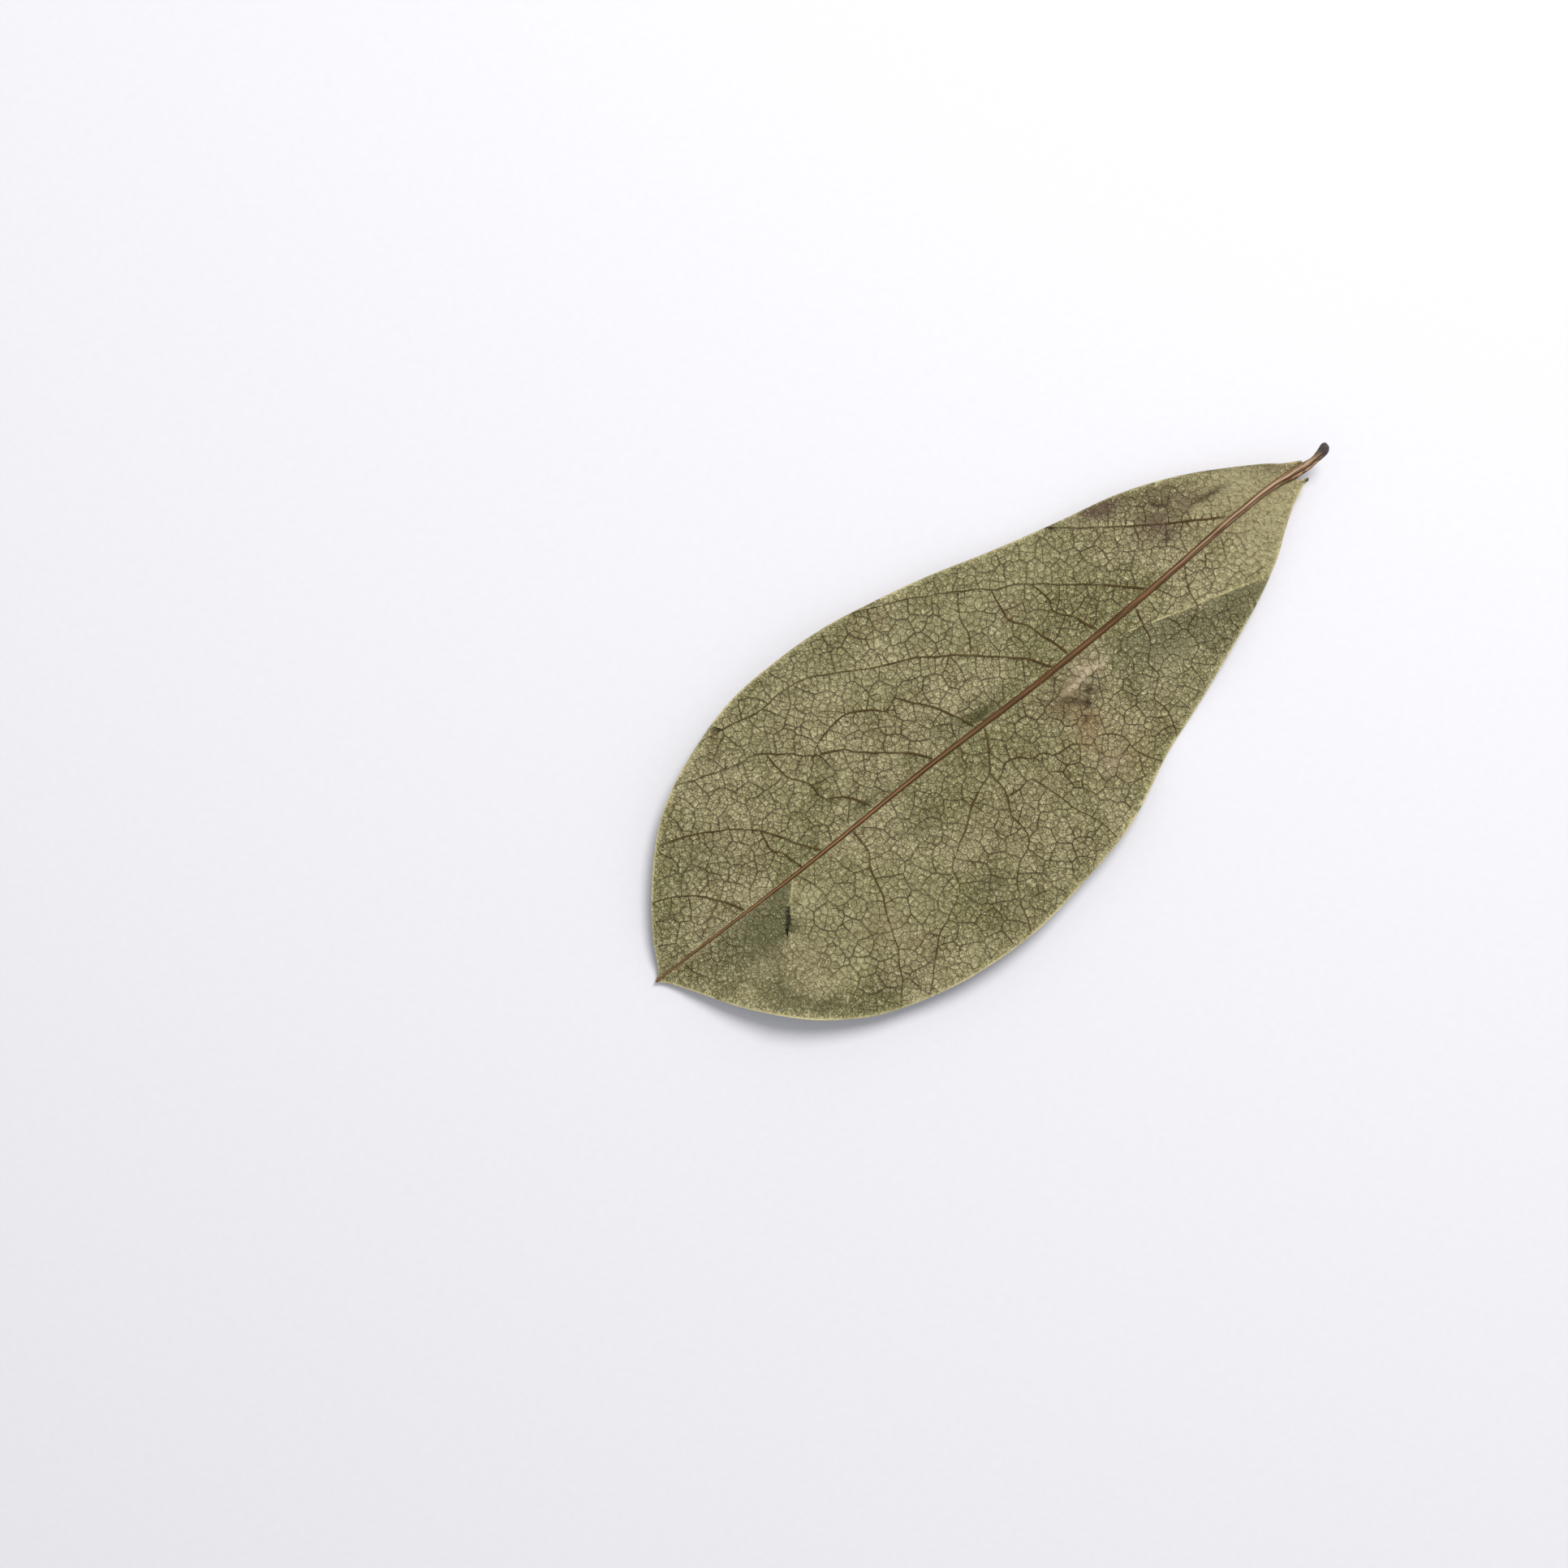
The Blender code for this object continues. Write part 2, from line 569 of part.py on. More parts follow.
def fill_panel(plan, ring):
    """Triangles from a ring's middle where it can see every side, and otherwise between its corners."""
    outline = np.array([plan.points[index] for index in ring])
    middle = outline.mean(axis=0)
    sides = zip(outline, np.roll(outline, -1, axis=0))
    turns = [cross(start - middle, end - middle) for start, end in sides]
    if min(turns) > 1e-3:
        centre = plan.add(middle)
        for start, end in zip(ring, ring[1:] + ring[:1]):
            plan.fill(centre, start, end)
        return
    for triangle in geometry.tessellate_polygon([[Vector((*point, 0)) for point in outline]]):
        plan.fill(*(ring[corner] for corner in triangle))


def side_lines(side, foot_start):
    """The foot, margin, vein and crease lines of the half blade on one side, as (kind, points)."""
    stations = np.arange(foot_start, TIP_STATION, VEIN_STEP)
    foot = np.array([rib_point(station, side) for station in [*stations, TIP_STATION]])
    table = LEFT_MARGIN if side < 0 else RIGHT_MARGIN
    corners = [(station, side * distance) for station, distance in table]
    margin = curve_through([tuple(foot[0]), *corners, tuple(foot[-1])], MARGIN_STEP)
    lines = [(FOOT, foot), (MARGIN, margin)]
    if side > 0:
        crease = between_walls(curve_through(CREASE, CREASE_STEP), [foot, margin])
        lines = [(kind, with_stops(line, crease[[0, -1]])) for kind, line in lines]
        torn = [SLIT_START < station < SLIT_END for station in crease[:, 0]]
        for start, end, cut in zip(crease, crease[1:], torn[1:]):
            lines.append((SLIT if cut else FOLD, np.array([start, end])))
    for corners in LEFT_VEINS if side < 0 else RIGHT_VEINS:
        path = curve_through([(station, side * distance) for station, distance in corners], VEIN_STEP)
        vein = between_walls(path, [line for _, line in lines])
        lines = [(kind, with_stops(line, vein[[0, -1]])) for kind, line in lines] + [(VEIN, vein)]
    return lines


def add_half_blade(plan, side, foot_start, draw):
    """One half of the blade. Gives the plan's corners along the midrib's foot, from base to tip."""
    lines = side_lines(side, foot_start)
    walls = [line for _, line in lines]
    area_points, areas = arrange(lines)
    edges = []
    for area in areas:
        outline = np.array([area_points[index] for index, _ in area])
        seeds = scatter(outline, walls, NET_SPACING, draw)
        if len(seeds) > 1:
            edges += cell_edges(seeds, outline, walls, NET_SPACING)
    edges = without_short_edges(edges, walls, SHORTEST_SIDE * NET_SPACING)
    stops = np.array([end for edge in edges for end in edge])
    lines = [(kind, with_stops(line, stops)) for kind, line in lines]
    points, cells = arrange(lines + [(NET, np.array(edge)) for edge in edges])
    strongest = {}
    for cell in cells:
        for (index, kind), (_, kind_before) in zip(cell, cell[-1:] + cell[:-1]):
            heights = [relief(each, points[index])[1] for each in (kind, kind_before)]
            strongest[index] = max([strongest.get(index, 0.0), *heights])
    made, foot = {}, []

    def vertex_at(index):
        if index not in made:
            made[index] = plan.add(points[index], strongest[index])
        return made[index]

    for cell in cells:
        add_cell(plan, cell, points, vertex_at, foot)
    return sorted(foot, key=lambda index: plan.points[index][0])


def zip_lines(plan, first, second):
    """Triangles between two rows of corners that both run from base to tip."""
    i = j = 0
    while i < len(first) - 1 or j < len(second) - 1:
        step_first = j == len(second) - 1
        if i < len(first) - 1 and not step_first:
            step_first = plan.points[first[i + 1]][0] < plan.points[second[j + 1]][0]
        if step_first:
            plan.fill(first[i], first[i + 1], second[j])
            i += 1
        else:
            plan.fill(first[i], second[j], second[j + 1])
            j += 1


def add_rib(plan, left_foot, right_foot):
    """The stalk and the midrib, joined to the feet of both half blades."""
    stalk_rows = list(np.arange(STALK_STATION, STALK_END, STALK_STEP))
    rows = stalk_rows + list(np.arange(FIRST_RIB_ROW, TIP_STATION - 1, RIB_STEP)) + [TIP_STATION]
    lines = []
    for across in RIB_ACROSS[1:-1]:
        dome = math.sqrt(1 - across**2)
        line = []
        for station in rows:
            edge = smooth_at(STALK_EDGE, station)
            above = edge + (smooth_at(RIB_CROWN, station) - edge) * dome
            below = edge + (smooth_at(STALK_BELLY, station) - edge) * dome
            half = BLADE_THICKNESS / 2
            line.append(plan.add(rib_point(station, across), above - half, below - half))
        lines.append(line)
    for across, foot, inner in ((-1.0, left_foot, lines[0]), (1.0, right_foot, lines[-1])):
        base = plan.points[foot[0]][0]
        edge_rows = [station for station in stalk_rows if station < base - FOOT_GAP]
        thin = [smooth_at(STALK_EDGE, station) - BLADE_THICKNESS / 2 for station in edge_rows]
        stalk = [plan.add(rib_point(station, across), low, low) for station, low in zip(edge_rows, thin)]
        zip_lines(plan, stalk + foot, inner)
    for line, after in zip(lines, lines[1:]):
        zip_lines(plan, line, after)


def flat_spot(plan, used):
    """The plan's corners in and on a four-cornered flat spot, which alone touch what the leaf lies on."""
    points = np.array([plan.points[index] for index in used])
    nearest = []
    for along, across in ((-1, -1), (1, -1), (1, 1), (-1, 1)):
        corner = REST_STATION + along * REST_LENGTH / 2, REST_OFFSET + across * REST_WIDTH / 2
        nearest.append(int(np.argmin(((points - corner) ** 2).sum(axis=1))))
    within = inside(points[nearest], points)
    within[nearest] = True
    return {index for index, flat in zip(used, within) if flat}


def solid_from(plan, name):
    """The closed solid between the plan's upper and lower faces, split into like triangles on both."""
    used = sorted({index for triangle in plan.triangles for index in triangle})
    flat = flat_spot(plan, used)
    shell = bmesh.new()
    upper, lower = {}, {}
    for index in used:
        station, offset = plan.points[index]
        base = 0.0 if index in flat else REST_STEP + sheet_height(station, offset)
        top = base + BLADE_THICKNESS + plan.above[index]
        upper[index] = shell.verts.new(Vector((station, offset, top)) * MM)
        lower[index] = shell.verts.new(Vector((station, offset, base - plan.below[index])) * MM)
    single = {}
    for triangle in plan.triangles:
        shell.faces.new([upper[index] for index in triangle])
        shell.faces.new([lower[index] for index in reversed(triangle)])
        for start, end in zip(triangle, triangle[1:] + triangle[:1]):
            if (end, start) in single:
                del single[end, start]
            else:
                single[start, end] = True
    for start, end in single:
        shell.faces.new([lower[start], lower[end], upper[end]])
        shell.faces.new([lower[start], upper[end], upper[start]])
    centre_on_ground(shell)
    mesh = bpy.data.meshes.new(name)
    shell.to_mesh(mesh)
    shell.free()
    mesh.shade_smooth()
    mesh.set_sharp_from_angle(angle=math.radians(SHARP_EDGE))
    leaf = bpy.data.objects.new(name, mesh)
    bpy.context.scene.collection.objects.link(leaf)
    return leaf


def centre_on_ground(shell):
    """Move a shell so that its box stands on the ground with its middle over the origin."""
    low = Vector([min(vert.co[axis] for vert in shell.verts) for axis in range(3)])
    high = Vector([max(vert.co[axis] for vert in shell.verts) for axis in range(3)])
    middle = (low + high) / 2
    bmesh.ops.translate(shell, verts=shell.verts, vec=Vector((-middle.x, -middle.y, -low.z)))


def leaf_material():
    """The pale olive of the dried underside."""
    material = bpy.data.materials.new("dried_leaf")
    material.use_nodes = True
    shader = material.node_tree.nodes["Principled BSDF"]
    shader.inputs["Base Color"].default_value = (0.27, 0.25, 0.13, 1.0)
    shader.inputs["Roughness"].default_value = 0.75
    shader.inputs["Metallic"].default_value = 0.0
    return material


def make_leaf():
    draw = random.Random(NET_SEED)
    plan = Plan()
    left_foot = add_half_blade(plan, -1, LEFT_START, draw)
    right_foot = add_half_blade(plan, 1, RIGHT_START, draw)
    add_rib(plan, left_foot, right_foot)
    leaf = solid_from(plan, "leaf")
    leaf.data.materials.append(leaf_material())


for old in list(bpy.data.objects):
    bpy.data.objects.remove(old, do_unlink=True)
make_leaf()
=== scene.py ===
"""The looks of a dried soursop leaf that lies with its underside up on a pale floor.

Stations are measured along the midrib from the blade's base towards its tip, and offsets across it, both in
millimetres. A place on the leaf's plan is the complex number station + offset * 1j. The frame's X axis runs
along the midrib and its Y axis across it. The leaf's sides are named as they lie in the photo: offsets are
below zero on its left side, which is the upper left one there.
"""
import cmath
import math
import random
from collections import Counter, defaultdict

import bpy
import numpy as np
from mathutils import Matrix, Vector, geometry, noise


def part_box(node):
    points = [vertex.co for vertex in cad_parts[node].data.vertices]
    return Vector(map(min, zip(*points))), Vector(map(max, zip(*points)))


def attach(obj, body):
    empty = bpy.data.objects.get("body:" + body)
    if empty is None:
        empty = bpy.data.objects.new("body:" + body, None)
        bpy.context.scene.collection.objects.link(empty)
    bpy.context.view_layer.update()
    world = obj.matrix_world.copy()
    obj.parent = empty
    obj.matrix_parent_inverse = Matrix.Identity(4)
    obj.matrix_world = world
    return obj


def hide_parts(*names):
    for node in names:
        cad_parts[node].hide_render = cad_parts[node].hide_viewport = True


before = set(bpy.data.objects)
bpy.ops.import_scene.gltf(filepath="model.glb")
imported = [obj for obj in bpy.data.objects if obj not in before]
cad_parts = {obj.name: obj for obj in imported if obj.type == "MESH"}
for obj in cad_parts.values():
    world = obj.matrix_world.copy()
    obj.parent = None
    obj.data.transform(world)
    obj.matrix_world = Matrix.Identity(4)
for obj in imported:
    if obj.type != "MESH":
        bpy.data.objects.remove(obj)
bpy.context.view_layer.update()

MM = 0.001
# Lengths and areas below these count as none, and points that are alike in so many digits as one.
NONE, TOUCHING, JOINED, DIGITS = 1e-9, 1e-6, 1e-4, 4

# The leaf's sizes in millimetres, as in the solid that this leaf stands for.
TIP_STATION = 140.6
STALK_STATION = -4.6
LEFT_START, RIGHT_START = -0.1, 2.1
SOLID_MIDDLE = 0.325
BLADE_THICKNESS = 0.36
# A hair shorter than the solid, so that both ends lie inside it.
LENGTH_SHARE = 0.9996
MARGIN_INSET = 0.06

LEFT_MARGIN = (
    (-0.1, 1.15), (2.4, 2.6), (7.0, 5.85), (16.7, 11.65), (27.0, 15.9), (38.8, 18.9), (51.0, 22.2),
    (61.9, 25.5), (71.8, 27.9), (81.0, 29.6), (90.3, 30.2), (100.8, 29.8), (111.5, 26.9),
    (119.9, 23.2), (125.4, 19.2), (131.2, 13.2), (135.6, 7.6), (138.2, 3.2), (139.6, 1.2),
)
# Where the sound margin on the right would begin if its base weren't torn away.
RIGHT_BASE = (1.6, 1.3)
RIGHT_MARGIN = (
    (5.5, 4.1), (9.5, 6.8), (13.3, 9.5), (20.3, 13.1), (28.9, 16.6), (40.1, 21.0),
    (48.3, 23.8), (56.7, 27.4), (63.2, 29.6), (72.0, 31.4), (83.9, 33.0), (95.5, 32.5), (105.6, 30.6),
    (114.7, 27.3), (122.1, 22.3), (127.2, 17.3), (132.0, 11.6), (136.0, 5.6), (138.2, 2.4), (139.6, 0.6),
)
# The torn sliver that is left of the blade's right base, from the midrib's foot to the sound margin.
TORN_BASE = ((2.2, 1.4), (1.5, 1.65), (0.7, 2.0), (1.0, 2.4), (1.9, 2.5), (2.6, 2.7), (4.0, 3.4))

# The midrib at each station: its bend, its half width, how far its crest, its belly and its upper and lower
# edges stand off the blade's middle, and how deep the groove along its top is.
RIB_BEND = (
    (-4.6, -0.4), (-3.2, 0.05), (-1.6, 0.3), (1.0, 0.1), (6.0, -0.6), (14.0, -0.65), (28.0, 0.0),
    (60.0, 0.5), (80.0, 0.0), (107.0, 0.1), (141.0, -0.5),
)
RIB_HALF_WIDTH = (
    (-4.6, 0.55), (-4.35, 0.8), (-4.0, 0.93), (-3.2, 0.85), (-1.8, 0.68), (0.4, 0.95), (6.0, 0.68),
    (16.0, 0.6), (40.0, 0.56), (80.0, 0.46), (115.0, 0.32), (141.0, 0.2),
)
RIB_CROWN = (
    (-4.6, 0.5), (-4.35, 0.78), (-4.0, 0.92), (-3.2, 0.85), (-1.8, 0.72), (0.4, 0.95), (6.0, 1.05),
    (40.0, 0.92), (80.0, 0.76), (108.5, 0.64), (113.0, 0.46), (141.0, 0.38),
)
RIB_BELLY = (
    (-4.6, 0.45), (-4.35, 0.7), (-4.0, 0.88), (-1.8, 0.72), (0.0, 0.7), (2.8, 0.45), (5.2, 0.325),
)
UPPER_EDGE = ((-4.6, 0.1), (-1.6, 0.1), (-0.3, 0.035))
LOWER_EDGE = ((-4.6, 0.1), (-1.6, 0.1), (-0.3, 0.325))
RIB_GROOVE = ((-4.6, 0.02), (-3.4, 0.1), (-1.5, 0.3), (8.0, 0.34), (16.0, 0.18), (24.0, 0.07), (141.0, 0.03))
# The places of the midrib's lines across it, from -1 at its left foot to 1 at its right one, and the groove's
# place and width on that scale.
RIB_ACROSS = (-1.0, -0.85, -0.6, -0.35, -0.12, 0.1, 0.25, 0.45, 0.68, 0.87, 1.0)
GROOVE_PLACE, GROOVE_SHARE = 0.25, 0.2
# The steps between rows of corners, where those of the midrib start and those of the stalk end, and the gap
# between the stalk's edge and the blade's foot.
RIB_STEP, STALK_STEP = 1.1, 0.3
FIRST_RIB_ROW, STALK_END, FOOT_GAP = 0.3, -0.3, 0.2

# The side veins on each side. Each runs from the first line that it crosses to the second.
LEFT_VEINS = (
    ((12.6, -1.0), (15.3, 1.4), (20.5, 4.7), (28.3, 9.9), (34.0, 14.0), (38.2, 17.2)),
    (
        (32.0, -1.0), (37.8, 4.5), (39.7, 6.3), (45.2, 10.7), (50.8, 15.0), (54.5, 16.9), (57.9, 19.4),
        (61.3, 21.4), (67.0, 24.5),
    ),
    ((43.4, -1.5), (44.2, 0.1), (45.5, 2.6), (46.1, 4.2), (48.4, 7.4), (47.6, 10.0), (49.5, 16.0)),
    ((50.2, -1.5), (51.7, 3.7), (52.4, 5.2), (53.2, 8.4), (54.9, 10.5), (55.1, 13.1), (54.2, 18.4)),
    (
        (53.6, -1.5), (56.4, 3.2), (58.8, 5.6), (64.1, 10.5), (70.9, 15.4), (72.9, 16.4), (78.4, 19.1),
        (83.3, 21.9), (89.2, 25.2), (93.3, 25.6), (98.4, 25.5), (105.0, 27.0),
    ),
    ((65.3, 8.6), (62.4, 12.7), (61.8, 15.1), (61.3, 16.7), (59.4, 19.4), (58.0, 22.2)),
    (
        (78.6, -1.5), (80.0, 0.5), (81.6, 2.7), (83.4, 4.6), (89.3, 9.4), (90.9, 11.3), (93.8, 12.9),
        (95.8, 14.0), (102.9, 19.9), (105.7, 20.5), (110.5, 21.8), (116.0, 24.0),
    ),
    (
        (70.0, -1.5), (71.3, 1.0), (72.6, 3.8), (74.1, 6.7), (76.4, 9.7), (78.6, 12.7), (81.0, 12.0),
        (83.6, 14.1), (85.7, 15.4), (88.3, 15.8), (92.0, 15.2), (97.5, 13.0),
    ),
    ((92.2, -1.5), (94.2, 2.5), (96.2, 5.2), (98.8, 7.0), (99.0, 10.5), (101.4, 14.0), (101.6, 21.0)),
    (
        (103.2, -1.5), (105.7, 1.8), (107.3, 4.0), (108.4, 6.1), (111.0, 9.8), (115.5, 13.4), (121.0, 16.4),
        (126.0, 18.4),
    ),
    ((107.9, -1.5), (108.9, 0.2), (109.6, 2.1), (110.0, 4.2), (111.2, 6.0), (110.4, 11.0)),
    ((120.0, -1.5), (123.8, 5.0), (128.4, 9.4), (133.0, 11.4)),
)
RIGHT_VEINS = (
    ((24.6, -1.5), (27.9, 4.0), (29.0, 7.6), (32.4, 9.4), (32.6, 12.8), (35.6, 14.6), (36.0, 20.0)),
    (
        (36.2, -1.5), (37.8, 3.6), (38.6, 7.0), (41.2, 9.6), (41.0, 12.6), (44.2, 14.8), (43.6, 18.4),
        (45.8, 24.5),
    ),
    (
        (69.0, -1.5), (69.8, 0.7), (71.3, 3.7), (73.9, 7.3), (76.5, 8.1), (79.7, 9.8), (82.3, 11.5),
        (84.0, 12.7), (88.5, 15.5), (91.0, 20.0), (98.0, 23.5), (105.0, 29.5),
    ),
    ((74.0, 5.4), (73.8, 10.4), (74.6, 13.0), (75.6, 15.1), (76.0, 20.0), (82.0, 24.4), (86.0, 33.0)),
    ((76.0, 11.8), (71.7, 12.6), (69.1, 12.5), (67.6, 16.5), (66.4, 21.3), (65.0, 24.4), (63.5, 30.5)),
    (
        (75.4, 9.2), (73.2, 9.0), (70.6, 7.7), (68.3, 8.4), (67.0, 10.0), (64.8, 10.3), (63.0, 12.1),
        (59.8, 12.4), (57.5, 14.3), (55.5, 13.9), (52.4, 16.5), (52.0, 20.6), (48.0, 26.0),
    ),
    (
        (97.3, -1.5), (98.4, 1.0), (98.4, 4.5), (100.0, 7.3), (100.8, 9.6), (101.2, 12.2), (103.2, 16.0),
        (105.0, 21.0), (109.0, 27.0),
    ),
)
# How far veins waver at the midrib, how much more with each millimetre away from it, and over what length.
VEIN_WOBBLE, WOBBLE_GROWTH, WOBBLE_LENGTH = 0.1, 0.014, 2.8
# The layers of the smooth noise that the veins, cockles, crinkles and stains take. Veins take one each, from
# the first one on.
WOBBLE_LAYER, COCKLE_LAYER, CRINKLE_LAYER, WARP_LAYERS = 0.5, 0.5, 3.7, (8.1, 9.4)

# The crease near the tip on the right, with a torn slit along the stretch between two stations.
CREASE = (
    (109.8, -1.5), (111.8, 0.9), (113.6, 2.5), (115.3, 4.0), (116.4, 5.3), (117.6, 6.7), (119.0, 9.0),
    (119.2, 11.4), (121.4, 13.6), (121.0, 16.4), (123.4, 19.6),
)
SLIT_START, SLIT_END = 114.9, 118.1

# The lines of the plan, where FOOT is the midrib's foot. Where lines meet, the first in this list wins.
FOOT, MARGIN, VEIN, FOLD, SLIT, CROSS, NET = range(7)
# Half width and height of each kind of line, and how dark it is. A darkness over 1 also changes the colour,
# and the slit's darkness is painted shade inside the tear.
HALF_WIDTH = {FOOT: 0.0, MARGIN: 0.36, VEIN: 0.31, FOLD: 0.22, SLIT: 0.55, CROSS: 0.19, NET: 0.12}
RELIEF = {FOOT: 0.0, MARGIN: 0.03, VEIN: 0.22, FOLD: 0.08, SLIT: -0.12, CROSS: 0.12, NET: 0.08}
DARKNESS = {FOOT: 0.0, MARGIN: 0.0, VEIN: 1.5, FOLD: 0.0, SLIT: 6.0, CROSS: 0.8, NET: 0.5}
# The share of itself that a side vein loses on its way out, the share of the blade's width that this way is
# on the left and on the right, and the shortest that it is.
VEIN_FADE, LEFT_FADE_END, RIGHT_FADE_END, SHORTEST_FADE = 0.45, 0.95, 0.6, 6.0
# The share of the net's darkness that is left near the base and past the crease, and where it changes.
BASE_SHARE, BASE_RAMP = 0.2, (6.0, 26.0)
CREASE_SHARE, CREASE_RAMP, CREASE_SIDE = 0.3, (112.0, 118.0), (2.0, 7.0)
# How far the panels between lines dip, and the lines' grooves on the lower face.
PANEL_DIP, LOWER_GROOVE = 0.06, 0.03
# A cell's corners move in by the lines' half widths, by less where there is no room, or by a share of the
# way to its middle. Between lines that turn less than the first sine here they move straight in.
WIDTH_SCALES, NARROW_CELL_SHARE = (1.0, 0.7, 0.5, 0.3, 0.15), 0.3
STRAIGHT_SINE, LEAST_SINE, LONGEST_MITRE = 0.25, 0.05, 0.42
# What a corner of the plan carries: how far it stands off both faces, and the marks that colours follow.
USUAL_MARKS = {"above": 0.0, "below": 0.0, "dark": 0.0, "rim": 0.0, "across": 0.0, "tone": 0.5}
COLOUR_MARKS = ("dark", "rim", "across", "tone")
# Edges that turn by more degrees than this are shaded sharp.
SHARP_ANGLE = 65

# Spacing of the net's lines, and of the points along each line.
CROSS_SPACING, NET_SPACING = 2.9, 0.98
MARGIN_STEP, VEIN_STEP, CREASE_STEP = 0.8, 0.8, 0.7
NET_SEED = 11
# Veins run on by this before they are cut at their lines. Points this near to a cut, in steps, are left out.
VEIN_RUN_ON, END_CLEARANCE = 12.0, 0.3
# Random tries for seeds, in each square of their spacing and besides.
SEED_TRIES, MORE_TRIES = 14, 40
# In spacings: how far seeds stay off a line and are mirrored over it, from how far the net's corners are set
# on a line, in the open and beside one, and the shortest side.
SEED_CLEARANCE, MIRROR_REACH = 0.38, 3.0
LOOSE_PULL, BORDER_PULL, SHORTEST_SIDE = 0.15, 0.8, 0.3
RELAX_ROUNDS, RELAX_SHARE = 4, 0.35
# Points of a line nearer than this to where the net meets it are left out.
STOP_CLEARANCE = 0.24

# The relaxed sheet's form, as in the solid, with finer crinkles on top. It is flat where it rests, and rises
# over the two ranges, where 1 is the edge of the resting spot.
REST_STATION, REST_OFFSET = 75.8, 1.0
REST_LENGTH, REST_WIDTH, REST_STEP = 30.0, 14.0, 0.15
REST_LEAVE, REST_STEP_RAMP = (1.0, 2.0), (0.9, 1.15)
VALLEY_SLOPE, SIDE_CURL = 0.045, 0.0021
END_CURL, END_START = 0.0006, 12.0
STALK_CURL, STALK_CURL_START = 0.035, 4.0
TIP_RISE, TIP_DROP, TIP_RAMP = 0.1, 0.25, 22.0
# How softly it rises, and turns down on the right and on the left, where it turns more softly further out.
RISE_SOFTNESS, RIGHT_SOFTNESS, LEFT_SOFTNESS, SOFTEST = 4.0, 0.35, 0.5, 4
# The straight line that the tip is folded along, which the crease follows as far as its slit.
TIP_FOLD = ((110.2, -1.5), (128.0, 18.0))
# The flap that is turned down along the base on the right, and the stations where that fades in and out.
STRIP_START, STRIP_END, STRIP_SLOPE, STRIP_SOFTNESS = (38.9, 3.8), (16.2, 10.8), 0.11, 0.45
STRIP_FADE_IN, STRIP_FADE_OUT = (8.0, 18.0), (62.0, 42.0)
STRIP_FOLD = ((41.0, 3.2), (38.9, 3.8), (31.0, 6.3), (23.5, 8.5), (18.6, 10.0), (16.4, 10.9))
# Dents and bumps as (station, offset, half length, half width, height).
PUCKERS = (
    (53.0, 8.0, 10.0, 8.0, 0.7), (51.8, 4.6, 5.0, 1.7, 0.7), (52.4, 8.1, 1.9, 1.7, -0.9),
    (55.6, 10.6, 3.2, 2.8, 0.45), (85.8, 20.5, 6.0, 5.0, -0.4), (40.5, -8.5, 7.0, 4.0, 0.4),
)
COCKLE_HEIGHT, COCKLE_LENGTH, COCKLE_WIDTH = 0.35, 17.0, 11.0
# Crinkles as (height, length), and how far from the midrib they come in.
CRINKLES, CRINKLE_START = ((0.13, 5.2), (0.06, 2.3)), (0.5, 3.0)
WAVE_HEIGHT, LEFT_WAVE, RIGHT_WAVE, LEFT_PHASE, RIGHT_PHASE = 0.45, 27.0, 33.0, 0.6, 2.4
# The least width that the waves reckon with, and the least height of the form before it is flattened.
NARROWEST_WAVED, LOWEST_EDGE = 4.0, 0.05
